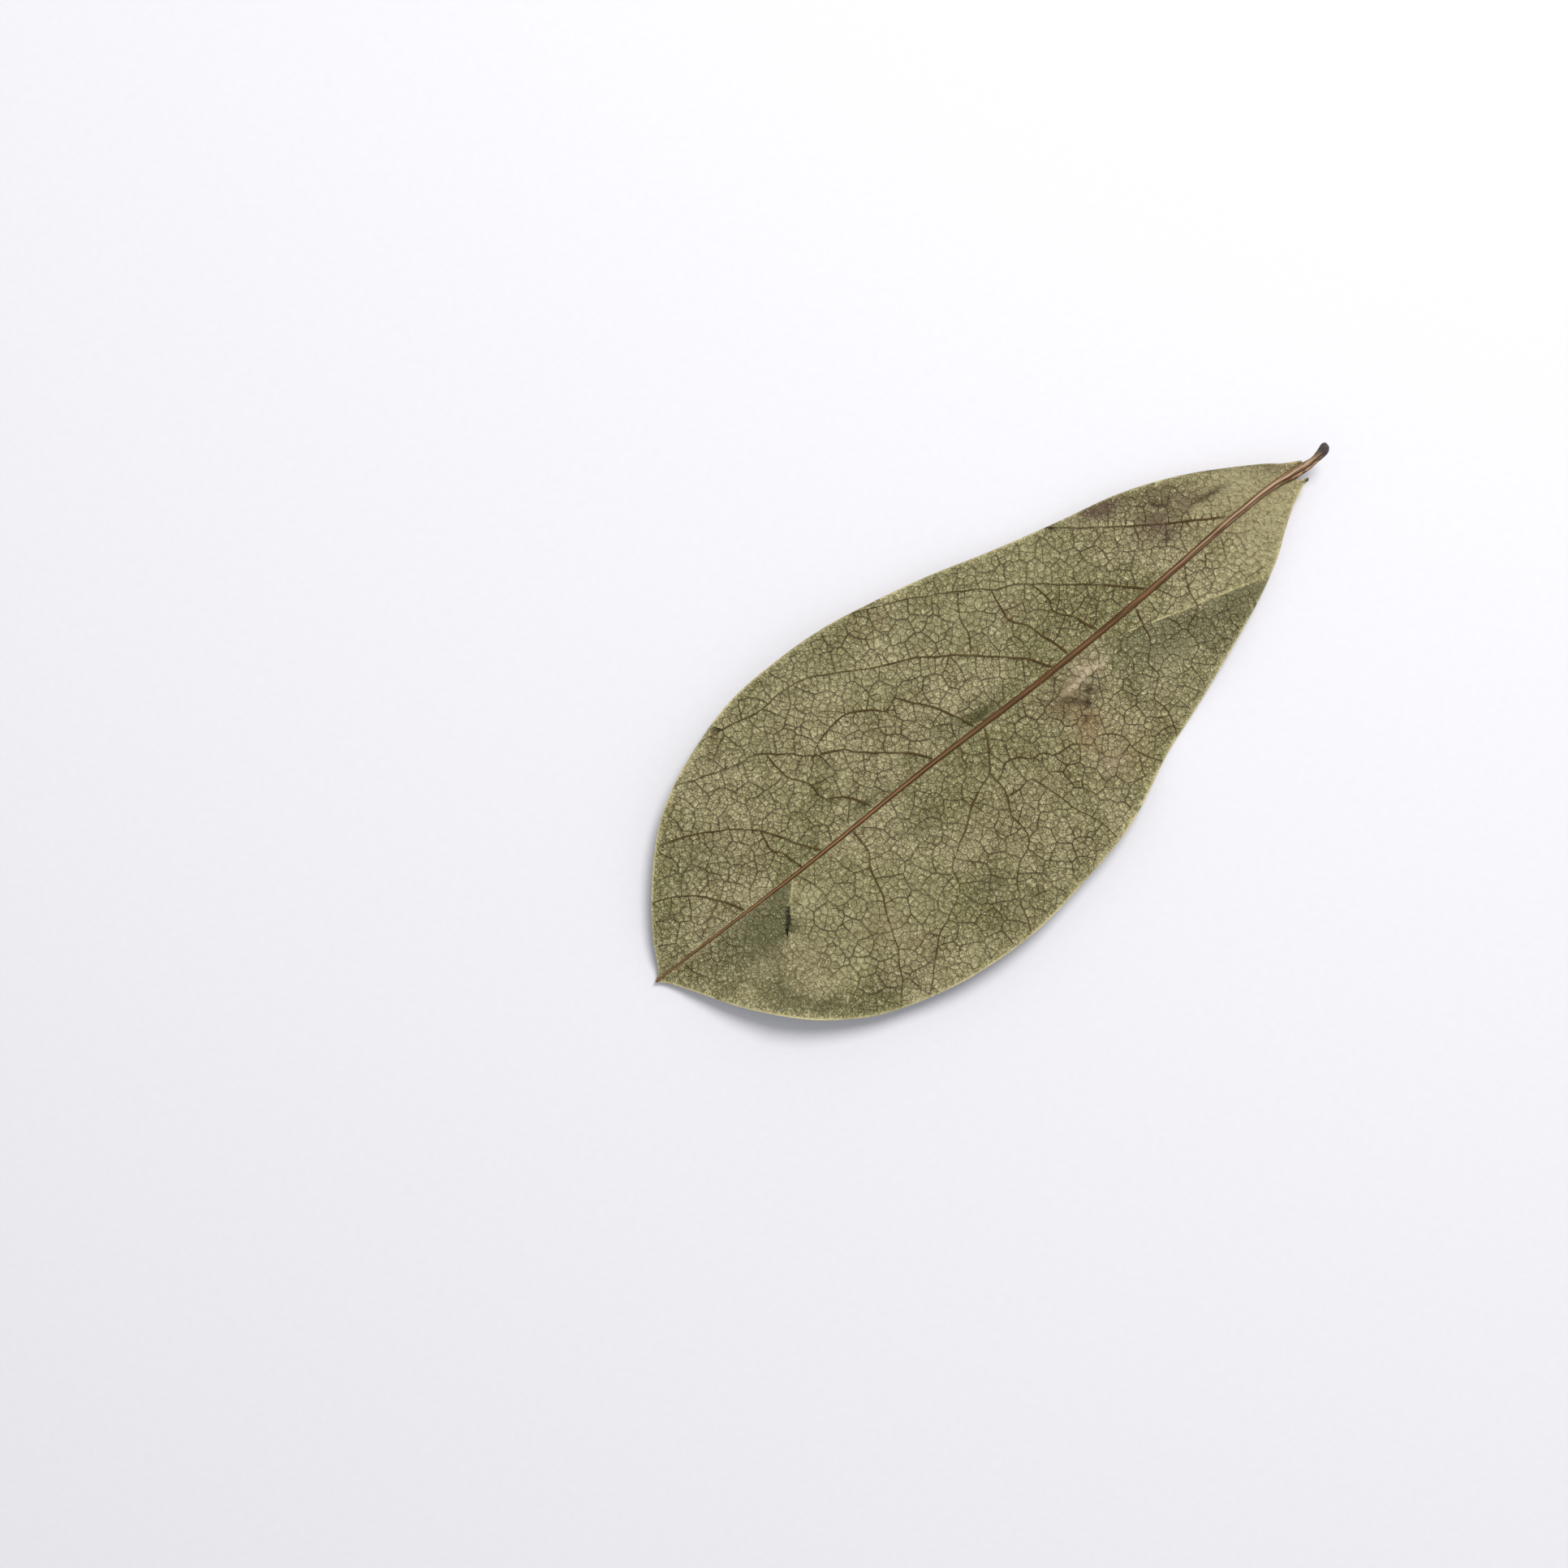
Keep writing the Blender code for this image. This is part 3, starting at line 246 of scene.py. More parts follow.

# Stains of each colour as (station, offset, half length, half width, direction in degrees, strength). Some
# are painted light and shade, as said at each.
STAINS_AND_PAINTED_LIGHT = (
    ("warm", ((11.0, -3.6, 11.0, 6.0, -14, 0.65), (12.0, 5.0, 10.0, 6.0, 24, 0.5))),
    ("pale", (
        (71.6, -5.8, 1.9, 1.7, -39, 0.5), (112.1, 18.6, 2.8, 1.7, -9, 0.6), (95.4, 30.1, 2.5, 1.4, -9, 0.5),
        (42.8, 19.3, 1.9, 1.1, -19, 0.6), (35.8, 10.9, 4.2, 1.9, -4, 0.4), (93.6, -7.9, 1.1, 3.0, -39, 0.45),
        (46.6, -15.5, 8.3, 4.2, -14, 0.35), (61.5, -16.8, 6.9, 2.8, -19, 0.3),
        (80.8, -3.9, 4.2, 1.7, -19, 0.3), (111.6, 6.9, 3.3, 4.2, -39, 0.35),
        # The first mark on the next line, along the crease, is painted light on its lit face; the other pale
        # marks are paler tones of the leaf.
        (112.4, 4.4, 3.6, 1.5, 50, 0.75), (110.5, 13.5, 8.0, 6.0, 0, 0.4),
        (99.5, 16.0, 7.0, 5.0, 0, 0.5), (72.0, -19.5, 24.0, 7.0, -8, 0.3),
        (13.0, 5.2, 8.0, 5.0, 30, 0.6), (12.0, -4.6, 8.0, 3.6, -20, 0.6), (30.0, 4.6, 7.0, 1.3, -18, 0.35),
        (6.0, 2.2, 5.0, 1.4, 20, 0.4), (8.0, -3.6, 4.0, 1.6, -28, 0.35),
    )),
    ("brown", (
        (55.8, 12.6, 3.0, 2.8, -39, 0.5), (57.2, 15.9, 1.9, 1.4, -69, 0.5), (56.4, 6.4, 3.4, 2.2, -9, 0.75),
        (74.5, -25.0, 3.3, 1.2, -14, 0.6), (101.2, 22.4, 2.2, 1.9, -39, 0.5),
        (105.2, 16.2, 4.7, 3.0, -19, 0.45), (105.3, 24.5, 4.2, 2.8, -19, 0.35),
        (72.1, -24.6, 0.8, 0.6, -39, 0.7), (86.0, 29.3, 3.6, 1.7, 3, 0.35), (54.6, 18.9, 2.5, 5.0, -59, 0.35),
        (85.4, -10.3, 4.2, 2.2, -39, 0.3), (66.3, 15.8, 2.8, 1.9, -39, 0.3), (54.5, 5.5, 4.5, 3.5, 0, 0.45),
        (77.0, 15.0, 13.0, 6.0, 0, 0.2), (118.5, 15.0, 4.0, 2.0, 30, 0.4), (122.0, 8.0, 2.5, 3.5, 0, 0.4),
    )),
    ("purple", (
        (33.1, -16.8, 3.9, 1.5, -24, 0.9), (26.0, -7.9, 4.4, 3.0, -29, 0.85),
        (29.8, -15.4, 4.2, 1.9, -14, 0.75), (18.5, -7.8, 3.4, 1.6, -19, 0.6),
        (22.0, -11.6, 3.6, 1.8, -39, 0.6), (4.0, -2.6, 3.4, 0.9, -32, 0.5),
    )),
    # The "green" marks that hug the midrib's left side, from station 68 to 106, are painted shade along it;
    # the others are the leaf's own dark patches.
    ("green", (
        (33.5, -5.6, 1.9, 0.7, -9, 0.5), (51.3, -5.4, 1.1, 1.0, -39, 0.8), (68.9, -1.5, 5.4, 1.5, 0, 0.95),
        (73.5, -3.4, 3.0, 1.0, -20, 0.6), (85.0, 22.0, 3.0, 2.2, -19, 0.6), (89.4, 21.9, 2.8, 1.7, 1, 0.5),
        (94.2, -2.0, 4.2, 1.4, -1, 0.85), (105.5, -1.8, 2.8, 1.1, -1, 0.6), (98.3, -6.4, 2.2, 1.7, -39, 0.5),
        (103.3, -20.1, 4.2, 1.9, -9, 0.3), (88.1, 6.3, 5.5, 2.5, -9, 0.35), (74.0, 13.1, 2.8, 1.4, -9, 0.3),
        (61.1, 9.3, 2.5, 1.4, 1, 0.3),
    )),
    # The "strip" marks are painted shade, mostly where the blade turns down beyond its folds and near its
    # tip.
    ("strip", (
        (44.2, 10.4, 3.6, 4.2, -39, 0.4), (124.7, 13.6, 2.6, 4.4, -30, 0.7),
        (116.4, 7.0, 2.4, 0.9, -6, 0.85), (57.8, 24.6, 2.6, 1.6, -60, 0.5),
        (120.3, 20.6, 8.3, 1.7, -40, 0.75), (111.3, 25.1, 4.7, 1.4, -19, 0.65),
        (85.0, 27.0, 5.0, 2.4, 0, 0.35), (123.0, -12.0, 5.0, 3.0, 0, 0.35),
    )),
    ("pink", (
        (51.6, 3.9, 4.8, 2.1, 4, 0.6), (57.2, 18.6, 3.6, 2.0, -70, 0.5), (54.6, -13.2, 2.4, 1.4, -30, 0.3),
        (79.4, -7.4, 2.4, 1.6, -39, 0.25),
    )),
    ("bright", (
        (49.4, 4.5, 3.2, 0.5, 2, 0.95), (53.8, 4.9, 2.2, 0.4, 4, 0.9), (50.8, 3.0, 1.4, 0.4, -20, 0.7),
    )),
    ("tan", (
        (55.5, 10.6, 3.0, 2.4, 0, 0.6), (58.2, 13.6, 2.6, 1.8, -50, 0.35), (52.5, 19.5, 4.0, 5.5, 0, 0.3),
    )),
    ("red", ((55.2, 10.9, 1.2, 0.9, -59, 0.35), (55.0, -11.6, 1.0, 0.7, -39, 0.5))),
    # The "slit" mark is painted shade inside the tear.
    ("slit", ((116.4, 5.4, 1.7, 0.62, 50, 1.0),)),
    # The "dark" marks are partly painted shadow, in a hollow and beside a fold, and partly dark spots and
    # streaks.
    ("dark", (
        (15.4, -6.2, 3.6, 0.6, -9, 0.8), (22.5, -9.8, 2.0, 0.5, -30, 0.6), (13.0, -9.7, 12.0, 0.5, -29, 0.75),
        (23.8, -11.1, 1.2, 0.8, -39, 0.6), (24.9, -4.9, 2.2, 0.7, -1, 0.7), (40.1, -18.7, 0.7, 0.6, -9, 1.0),
        (51.8, 6.9, 0.9, 0.7, -39, 1.0), (53.2, 8.4, 1.1, 0.7, 30, 1.0), (55.3, 6.8, 3.0, 0.55, -39, 0.75),
        (55.3, 10.5, 0.6, 0.5, 0, 0.9), (81.9, -16.7, 0.4, 0.4, 0, 0.9), (88.3, -11.5, 0.4, 0.4, 0, 1.0),
        (87.6, -14.8, 0.4, 0.4, 0, 1.0), (0.7, 2.1, 0.9, 0.6, 0, 1.0),
    )),
)
# How far stains are warped and over what length. Those narrower than the last of these are warped less.
STAIN_WARP, STAIN_WARP_LENGTH, FULL_WARP_WIDTH = 0.9, 2.6, 1.5
# Shaded bands past a line on the right: the line's start and end, how far the shade reaches, the stations
# between which it fades in and out, the offsets between which it fades out, and its strength.
SHADES = (
    (STRIP_FOLD[1], STRIP_FOLD[-1], 12.0, (10.0, 17.0), (50.0, 39.0), (60.0, 50.0), 0.6),
    (CREASE[0], CREASE[4], 22.0, (108.0, 111.0), (150.0, 120.0), (11.0, 6.0), 0.7),
)
# How soft a shade's line is in millimetres, and the share of its reach that it begins to fade at.
SHADE_SOFTNESS, SHADE_FADE_START = 0.12, 0.3

# Colours as they are seen, each channel from 0 to 255: those of the stains and painted light and shade, the
# underside, the upper side, the midrib and stalk, the broken edge and the floor.
COLOURS = {
    # Of the stains, "strip", "shade" and "slit" are painted shade, "dark" and "green" are partly painted
    # shade, and "pale" is partly painted light.
    "warm": (174, 157, 118), "pale": (178, 172, 130), "tan": (158, 132, 94), "bright": (214, 196, 164),
    "brown": (124, 104, 72), "purple": (104, 84, 68), "green": (78, 78, 42), "strip": (84, 85, 50),
    "shade": (92, 92, 64), "pink": (160, 142, 116), "red": (118, 76, 48), "dark": (54, 40, 24),
    "slit": (22, 18, 11),
    "olive": (148, 145, 99), "straw": (188, 178, 137), "moss": (122, 120, 78), "mottle": (118, 108, 66),
    # The flecks are partly painted shade and highlight on the fine relief that the same noise raises.
    "mesh lines": (76, 68, 36), "dark flecks and shade": (84, 76, 44), "pale flecks and highlights": (206, 199, 154),
    # The slit's near-black colour on the next line is painted shade inside the tear.
    "threads": (220, 213, 172), "net": (56, 42, 19), "veins": (92, 69, 32), "slit shade below": (20, 17, 10),
    # The pale rim colour is also painted as a highlight along the folds' crests.
    "pale rim and fold highlight": (214, 202, 152),
    "slate": (100, 106, 92), "grey green": (132, 130, 114), "grey flecks": (158, 158, 146),
    # The slit's dark colour from above is painted shade inside the tear.
    "pale network": (172, 168, 150), "slit shade from above": (34, 30, 22), "dull rim": (150, 140, 108),
    "flat midrib": (128, 98, 66),
    "chestnut": (78, 52, 31), "russet": (128, 90, 57), "rib blotches": (104, 82, 54),
    # The far crest and base ridge colours are painted highlights on the midrib, and the base groove is
    # painted shade in its groove.
    "cocoa": (108, 78, 54), "base streaks": (194, 162, 130), "far crest highlight": (172, 128, 88),
    "base ridge highlight": (200, 172, 142), "base groove shade": (84, 58, 40), "rib foot": (84, 58, 34),
    "stalk": (50, 42, 44), "stalk streaks": (108, 96, 95),
    "broken edge": (128, 112, 72), "pale edge": (176, 162, 118),
    "floor": (238, 237, 243), "floor spots": (243, 242, 248),
}
# Grains as the size of their spots in millimetres, detail, and what else isn't usual: roughness, distortion
# and stretch.
GRAIN_ROUGHNESS = 0.55
GRAINS = {
    "patch": (17.0, 3.0), "spot": (5.2, 4.0, 0.55, 0.4), "fleck": (0.75, 3.0, 0.7),
    "thread": (0.5, 2.0, 0.6, 1.8), "ripple": (5.0, 2.0), "uneven rim spot": (9.0, 3.0),
    "upper patch": (14.0, 4.0), "upper fleck": (0.8, 3.0, 0.65),
    "streak": (0.35, 3.0, 0.6, 0.0, (0.045, 1.0, 1.0)),
    "blotch": (6.0, 3.0), "stalk end": (2.0, 3.0), "edge crumb": (0.6, 3.0), "floor": (1.4, 2.0),
}
# The fine mesh's size, how long and how far its lines bend, in sizes, and how finely.
MESH_SIZE, MESH_BEND_LENGTH, MESH_BEND, MESH_BEND_DETAIL = 0.55, 1.25, 0.5, 2.0
# Patterns as what they follow, the two values of it that they run between, and their strengths there, which
# are 0 and 1 where none are given.
PATTERNS = {
    "straw": ("patch", 0.4, 0.6), "mottle": ("spot", 0.44, 0.64, 0.0, 0.56),
    "mesh lines": ("mesh", 0.13, 0.02, 0.0, 0.7), "mesh ridges": ("mesh", 0.0, 0.3, 0.0, 0.8),
    # The fleck patterns paint shade and highlight on the fine relief, besides the flecks' own colour.
    "dark flecks and shade": ("fleck", 0.47, 0.32, 0.0, 0.65), "pale flecks and highlights": ("fleck", 0.53, 0.68, 0.0, 0.7),
    "speckles": ("fleck", 0.34, 0.62, 0.55, 1.15), "roughness": ("fleck", 0.3, 0.7, 0.62, 0.8),
    "threads": ("thread", 0.57, 0.66, 0.0, 0.7), "ripples": ("ripple", 0.3, 0.7, 0.75, 1.1),
    # The wear pattern also breaks up the painted highlight along the folds.
    "rim wear and uneven highlight": ("uneven rim spot", 0.42, 0.6, 0.5, 1.0), "veins": ("dark", 0.8, 1.1),
    # The slit patterns paint shade inside the tear.
    "slit shade below": ("dark", 1.6, 1.8), "slit shade from above": ("dark", 1.6, 1.8),
    "grey green": ("upper patch", 0.38, 0.62), "grey flecks": ("upper fleck", 0.5, 0.75, 0.0, 0.4),
    "pale network": ("dark", 0.0, 1.5, 0.0, 0.75), "upper roughness": ("upper fleck", 0.3, 0.7, 0.5, 0.7),
    "russet": ("streak", 0.38, 0.64), "rib blotches": ("blotch", 0.38, 0.62, 0.0, 0.4),
    "base streaks": ("streak", 0.4, 0.6), "rib base": ("station", 34.0, 2.0, 0.0, 0.9),
    "pale edge": ("edge crumb", 0.35, 0.65),
}
# Painted highlights and shade along the midrib, as their middle and half width across it, the stations that
# they come in between, their strength at both, and their colour: highlights on its crest far out and on its
# ridge at the base, and shade in its groove there.
RIB_HIGHLIGHTS_AND_SHADE = (
    (-0.12, 0.32, 66.0, 92.0, 0.05, 0.75, "far crest highlight"),
    (-0.3, 0.24, 40.0, 10.0, 0.0, 1.0, "base ridge highlight"),
    (0.25, 0.24, 46.0, 12.0, 0.0, 1.0, "base groove shade"),
)
# The dark feet of the midrib, as a pattern of how far out a place is, and the width of the line on its upper
# side, both across it.
RIB_FOOT, FLAT_RIB_WIDTH = (0.6, 0.98, 0.0, 0.75), 0.75
# The stations that the stalk turns dark between, and how unevenly it does.
STALK_DARK, STALK_UNEVENNESS = (-0.3, -2.2), 2.4
# How much the cells' tones show, the powers that the marks are raised to, and the flecks' part in the relief.
TONE_SHARE, DARK_POWER, RIM_POWER, FLECK_RELIEF = 0.16, 0.6, 0.45, 0.6
# Strong stains and painted shade cover the lines, as the first pattern says, and the pale rim and fold
# highlights, as the second does.
STAIN_OVER_LINES, RIM_OVER_STAIN = (0.5, 0.95, 0.0, 0.85), (0.85, 0.5)
RIB_ROUGHNESS, EDGE_ROUGHNESS, FLOOR_ROUGHNESS, SHINE = 0.62, 0.8, 0.7, 0.22
# How deep the fine relief of each material is, in millimetres.
UNDERSIDE_DEPTH, UPPER_DEPTH, RIB_DEPTH, EDGE_DEPTH, FLOOR_DEPTH = 0.13, 0.06, 0.12, 0.05, 0.01

# The photograph's view: its width, the way in degrees that its right side points, and the place that it
# centres.
PHOTO_WIDTH = 267.8
PHOTO_TURN = 141.26
PHOTO_CENTRE = 102.5 - 13.1j
CAMERA_HEIGHT, SENSOR_WIDTH = 420.0, 36.0
# The nearest that the camera sees, half the floor's width, and the lamp's place to the right of the view's
# middle, up in the view and over the floor, all in metres.
NEAREST_VIEW, FLOOR_HALF = 0.01, 1.5
LAMP_PLACE, LAMP_SIZE, LAMP_ENERGY, LAMP_COLOUR = (0.24, 0.52, 0.9), 0.5, 8.3, (1.0, 0.98, 0.94)
SKY_COLOUR, SKY_STRENGTH = (0.95, 0.97, 1.0, 1.0), 0.5

# The inputs of a node that mixes colours, and its output.
MIX_SHARE, MIX_FIRST, MIX_SECOND, MIXED = 0, 6, 7, 2
# The leaf's material slots.
BLADE, UPPER_SIDE, EDGE, RIB, UPPER_RIB = range(5)


class Profile:
    """A smooth curve through (station, value) pairs, level beyond its ends."""

    def __init__(self, table):
        self.stations, self.values = (np.array(column) for column in zip(*table))
        self.slopes = np.gradient(self.values, self.stations)

    def __call__(self, station):
        station = np.clip(station, self.stations[0], self.stations[-1])
        here = np.clip(np.searchsorted(self.stations, station, side="right") - 1, 0, len(self.stations) - 2)
        span = self.stations[here + 1] - self.stations[here]
        part = (station - self.stations[here]) / span
        rise = part**2 * (3 - 2 * part)
        leave = part * (1 - part) ** 2 * span * self.slopes[here]
        arrive = part**2 * (part - 1) * span * self.slopes[here + 1]
        return self.values[here] * (1 - rise) + self.values[here + 1] * rise + leave + arrive


left_width, right_width = Profile(LEFT_MARGIN), Profile((RIGHT_BASE, *RIGHT_MARGIN))
rib_bend, rib_half_width, rib_crown = Profile(RIB_BEND), Profile(RIB_HALF_WIDTH), Profile(RIB_CROWN)
rib_belly, rib_groove = Profile(RIB_BELLY), Profile(RIB_GROOVE)
upper_edge, lower_edge = Profile(UPPER_EDGE), Profile(LOWER_EDGE)


def cross(first, second):
    """The cross product of two flat arrows, above zero where the second is anticlockwise of the first."""
    return (first.conjugate() * second).imag


def dot(first, second):
    """The dot product of two flat arrows."""
    return (first.conjugate() * second).real


def pairs(ring):
    """Each item of a ring with the one after it."""
    return zip(ring, ring[1:] + ring[:1])


def by_side(points, left, right):
    """One value for each point left of the midrib and another for each point right of it."""
    return np.where(points.imag < 0, left, right)


def ramp(low, high, value):
    """A smooth step from 0 at low to 1 at high."""
    part = np.clip((value - low) / (high - low), 0, 1)
    return part * part * (3 - 2 * part)


def bend_over(distance, softness):
    """Zero before a line and the distance past it after, with a soft turn."""
    return softness * np.logaddexp(0, distance / softness)


def past_line(start, end, station, offset):
    """How far a place lies on the anticlockwise side of the line from start to end."""
    along_s, along_t = end[0] - start[0], end[1] - start[1]
    return (along_s * (offset - start[1]) - along_t * (station - start[0])) / math.hypot(along_s, along_t)


def noise_at(points, length, width, layer):
    """Smooth noise from -1 to 1 over the plan, with its waves' length and width."""
    places = [Vector((point.real / length, point.imag / width, layer)) for point in points]
    return np.array([noise.noise(place) for place in places])


def blade_width(points):
    """The blade's width from midrib to margin where each point is."""
    return by_side(points, left_width(points.real), right_width(points.real))


def tip_fold(station, offset):
    """The rise towards the crease near the tip and the drop beyond it, sharp only on the right."""
    softness = np.where(offset > 0, RIGHT_SOFTNESS, LEFT_SOFTNESS + np.clip(-offset, 0, SOFTEST))
    beyond = -past_line(*TIP_FOLD, station, abs(offset))
    return TIP_RISE * bend_over(beyond + TIP_RAMP, RISE_SOFTNESS) - TIP_DROP * bend_over(beyond, softness)


def margin_wave(points):
    """The slow waves of the margin, which fade towards the midrib."""
    share = np.clip(abs(points.imag) / np.maximum(NARROWEST_WAVED, blade_width(points)), 0, 1)
    length = by_side(points, LEFT_WAVE, RIGHT_WAVE)
    phase = by_side(points, LEFT_PHASE, RIGHT_PHASE)
    return WAVE_HEIGHT * share**3 * (1 + np.sin(2 * np.pi * points.real / length + phase))


def sheet_height(points):
    """Height of the blade's lower face over the floor."""
    station, offset = points.real, points.imag
    along, aside = abs(station - REST_STATION), abs(offset - REST_OFFSET)
    spread = 2 * np.maximum(along / REST_LENGTH, aside / REST_WIDTH)
    height = VALLEY_SLOPE * abs(offset) + SIDE_CURL * offset**2
    height += END_CURL * np.maximum(0, along - END_START) ** 2
    height += STALK_CURL * np.maximum(0, STALK_CURL_START - station) ** 2
    height += tip_fold(station, offset) + margin_wave(points)
    height += COCKLE_HEIGHT * noise_at(points, COCKLE_LENGTH, COCKLE_WIDTH, COCKLE_LAYER)
    beyond = -past_line(STRIP_START, STRIP_END, station, offset)
    strip = bend_over(beyond, STRIP_SOFTNESS) * ramp(*STRIP_FADE_OUT, station) * ramp(*STRIP_FADE_IN, station)
    height -= np.where(offset > 0, STRIP_SLOPE * strip, 0)
    for centre_s, centre_t, length, width, lift in PUCKERS:
        height += lift * np.exp(-(((station - centre_s) / length) ** 2) - ((offset - centre_t) / width) ** 2)
    height = ramp(*REST_LEAVE, spread) * np.maximum(LOWEST_EDGE, height)
    height += REST_STEP * ramp(*REST_STEP_RAMP, spread)
    clear_of_rib = ramp(*CRINKLE_START, abs(offset))
    for lift, length in CRINKLES:
        height += clear_of_rib * lift * noise_at(points, length, length, CRINKLE_LAYER)
    return np.maximum(LOWER_GROOVE, height)


def rib_points(stations, across):
    """Plan points on the midrib, across from -1 at its left foot to 1 at its right foot."""
    return stations + 1j * (rib_bend(stations) + across * rib_half_width(stations))


def curve_through(corners, step):
    """Points about a step apart on the Catmull-Rom curve through the corners."""
    corners = np.array([complex(*corner) if isinstance(corner, tuple) else corner for corner in corners])
    padded = np.concatenate([[2 * corners[0] - corners[1]], corners, [2 * corners[-1] - corners[-2]]])
    points = []
    for before, start, end, after in zip(padded, padded[1:], padded[2:], padded[3:]):
        count = max(1, round(abs(end - start) / step))
        part = np.arange(count) / count
        turn = 2 * before - 5 * start + 4 * end - after
        twist = 3 * start - before - 3 * end + after
        points += list(start + 0.5 * part * (end - before + part * (turn + part * twist)))
    return np.array(points + [corners[-1]])


def crossings(path, line):
    """Every place where a path crosses a line, as (distance along the path in segments, point)."""
    run, side = np.diff(path)[:, None], np.diff(line)[None]
    gap = line[None, :-1] - path[:-1, None]
    scale = cross(run, side)
    scale[scale == 0] = np.inf
    along, line_along = cross(gap, side) / scale, cross(gap, run) / scale
    segments, others = np.nonzero((along >= 0) & (along < 1) & (line_along >= 0) & (line_along < 1))
    return [(i + along[i, j], path[i] + along[i, j] * run[i, 0]) for i, j in zip(segments, others)]


def between_lines(path, lines):
    """The part of a path from the first line that it crosses to the second."""
    run = path[-1] - path[-2]
    path = np.append(path, path[-1] + run / abs(run) * VEIN_RUN_ON)
    found = sorted((place for line in lines for place in crossings(path, line)), key=lambda place: place[0])
    (start, start_point), (end, end_point) = found[:2]
    start, end = start + END_CLEARANCE, end - END_CLEARANCE
    middle = [point for index, point in enumerate(path) if start < index < end]
    return np.array([start_point, *middle, end_point])


def starts_and_runs(path):
    """Where the segments of a path start, and how they run from there."""
    return path[:-1], np.diff(path)


def nearest_on(starts, runs, points):
    """The nearest place to each point on any of the segments with these starts and runs."""
    along = np.clip(dot(runs[None], points[:, None] - starts[None]) / abs(runs[None]) ** 2, 0, 1)
    places = starts[None] + along * runs[None]
    nearest = np.argmin(abs(places - points[:, None]), axis=1)
    return places[np.arange(len(points)), nearest]


def with_stops(line, stops):
    """A line with the stops that lie on it added in their places."""
    points = [line[0]]
    for start, end in zip(line, line[1:]):
        along = dot(end - start, stops - start) / abs(end - start) ** 2
        away = abs(start + along * (end - start) - stops)
        for index in np.argsort(along):
            if away[index] < TOUCHING < along[index] < 1 - TOUCHING:
                points.append(stops[index])
        points.append(end)
    return np.array(points)


def thinned(line, stops):
    """A line without the points that crowd one of its stops."""
    away = abs(line[:, None] - stops[None]).min(axis=1)
    return line[(away < TOUCHING) | (away > STOP_CLEARANCE)]


def inside(outline, points):
    """Which of the points lie inside a closed outline."""
    result = np.zeros(len(points), dtype=bool)
    for start, end in zip(outline, np.roll(outline, -1)):
        spans = (start.imag > points.imag) != (end.imag > points.imag)
        rise = end.imag - start.imag if end.imag != start.imag else 1.0
        crossing = start.real + (points.imag - start.imag) * (end.real - start.real) / rise
        result ^= spans & (points.real < crossing)
    return result


def scatter(outline, spacing, draw):
    """Random points in an outline, at least a spacing apart and clear of its sides."""
    low = complex(outline.real.min(), outline.imag.min())
    box = complex(outline.real.max(), outline.imag.max()) - low
    tries = int(SEED_TRIES * box.real * box.imag / spacing**2) + MORE_TRIES
    points = low + np.array([box.real * draw.random() + 1j * box.imag * draw.random() for _ in range(tries)])
    points = points[inside(outline, points)]
    sides = np.roll(outline, -1) - outline
    points = points[abs(nearest_on(outline, sides, points) - points) > SEED_CLEARANCE * spacing]
    kept, near = [], defaultdict(list)
    for point in points:
        column, row = int(point.real // spacing), int(point.imag // spacing)
        around = [other for i in (-1, 0, 1) for j in (-1, 0, 1) for other in near[column + i, row + j]]
        if all(abs(point - other) > spacing for other in around):
            kept.append(point)
            near[column, row].append(point)
    return np.array(kept)


def circle_centres(first, second, third):
    """The centre of the circle through each three points."""
    side, other = second - first, third - first
    scale = 2 * cross(side, other)
    scale = np.where(abs(scale) < NONE, np.nan, scale)
    return first + 1j * (side * abs(other) ** 2 - other * abs(side) ** 2) / scale


def cell_edges(seeds, groups, outline, lines, walls):
    """The edges between the cells nearest to each seed, as (start, end, kind), ended on the area's walls."""
    ghosts = []
    for line in lines:
        mirrored = 2 * nearest_on(*starts_and_runs(line), seeds) - seeds
        close = abs(mirrored - seeds) < MIRROR_REACH * NET_SPACING
        ghosts.append(mirrored[close & ~inside(outline, mirrored)])
    places = [Vector((point.real, point.imag)) for point in np.concatenate([seeds, *ghosts])]
    verts, _, faces, origins, _, _ = geometry.delaunay_2d_cdt(places, [], [], 0, TOUCHING)
    owner = np.array([min(source, default=len(seeds)) for source in origins])
    corners = np.array([complex(*vert) for vert in verts])[np.array(faces)]
    centres = circle_centres(*corners.T)
    on_border = (owner[np.array(faces)] >= len(seeds)).any(axis=1)
    spots = nearest_on(*walls, centres)
    pull = np.where(on_border, BORDER_PULL, LOOSE_PULL) * NET_SPACING
    centres = np.where(abs(spots - centres) < pull, spots, centres)
    sides = defaultdict(list)
    for centre, face in zip(centres, faces):
        for start, end in pairs(face):
            if owner[start] < len(seeds) > owner[end] and centre == centre:
                sides[min(start, end), max(start, end)].append(centre)
    edges = []
    for (start, end), ends in sides.items():
        if len(ends) == 2:
            kind = NET if groups[owner[start]] == groups[owner[end]] else CROSS
            edges.append((*ends, kind))
    middles = np.array([(start + end) / 2 for start, end, _ in edges])
    return [edge for edge, good in zip(edges, inside(outline, middles)) if good] if edges else []


def without_loose_ends(links, fixed=()):
    """The links that are left once those that lead nowhere are taken away, where the point isn't fixed."""
    while True:
        count = Counter(end for pair in links for end in pair)
        loose = [pair for pair in links if any(count[end] == 1 and end not in fixed for end in pair)]
        if not loose:
            return links
        for pair in loose:
            del links[pair]


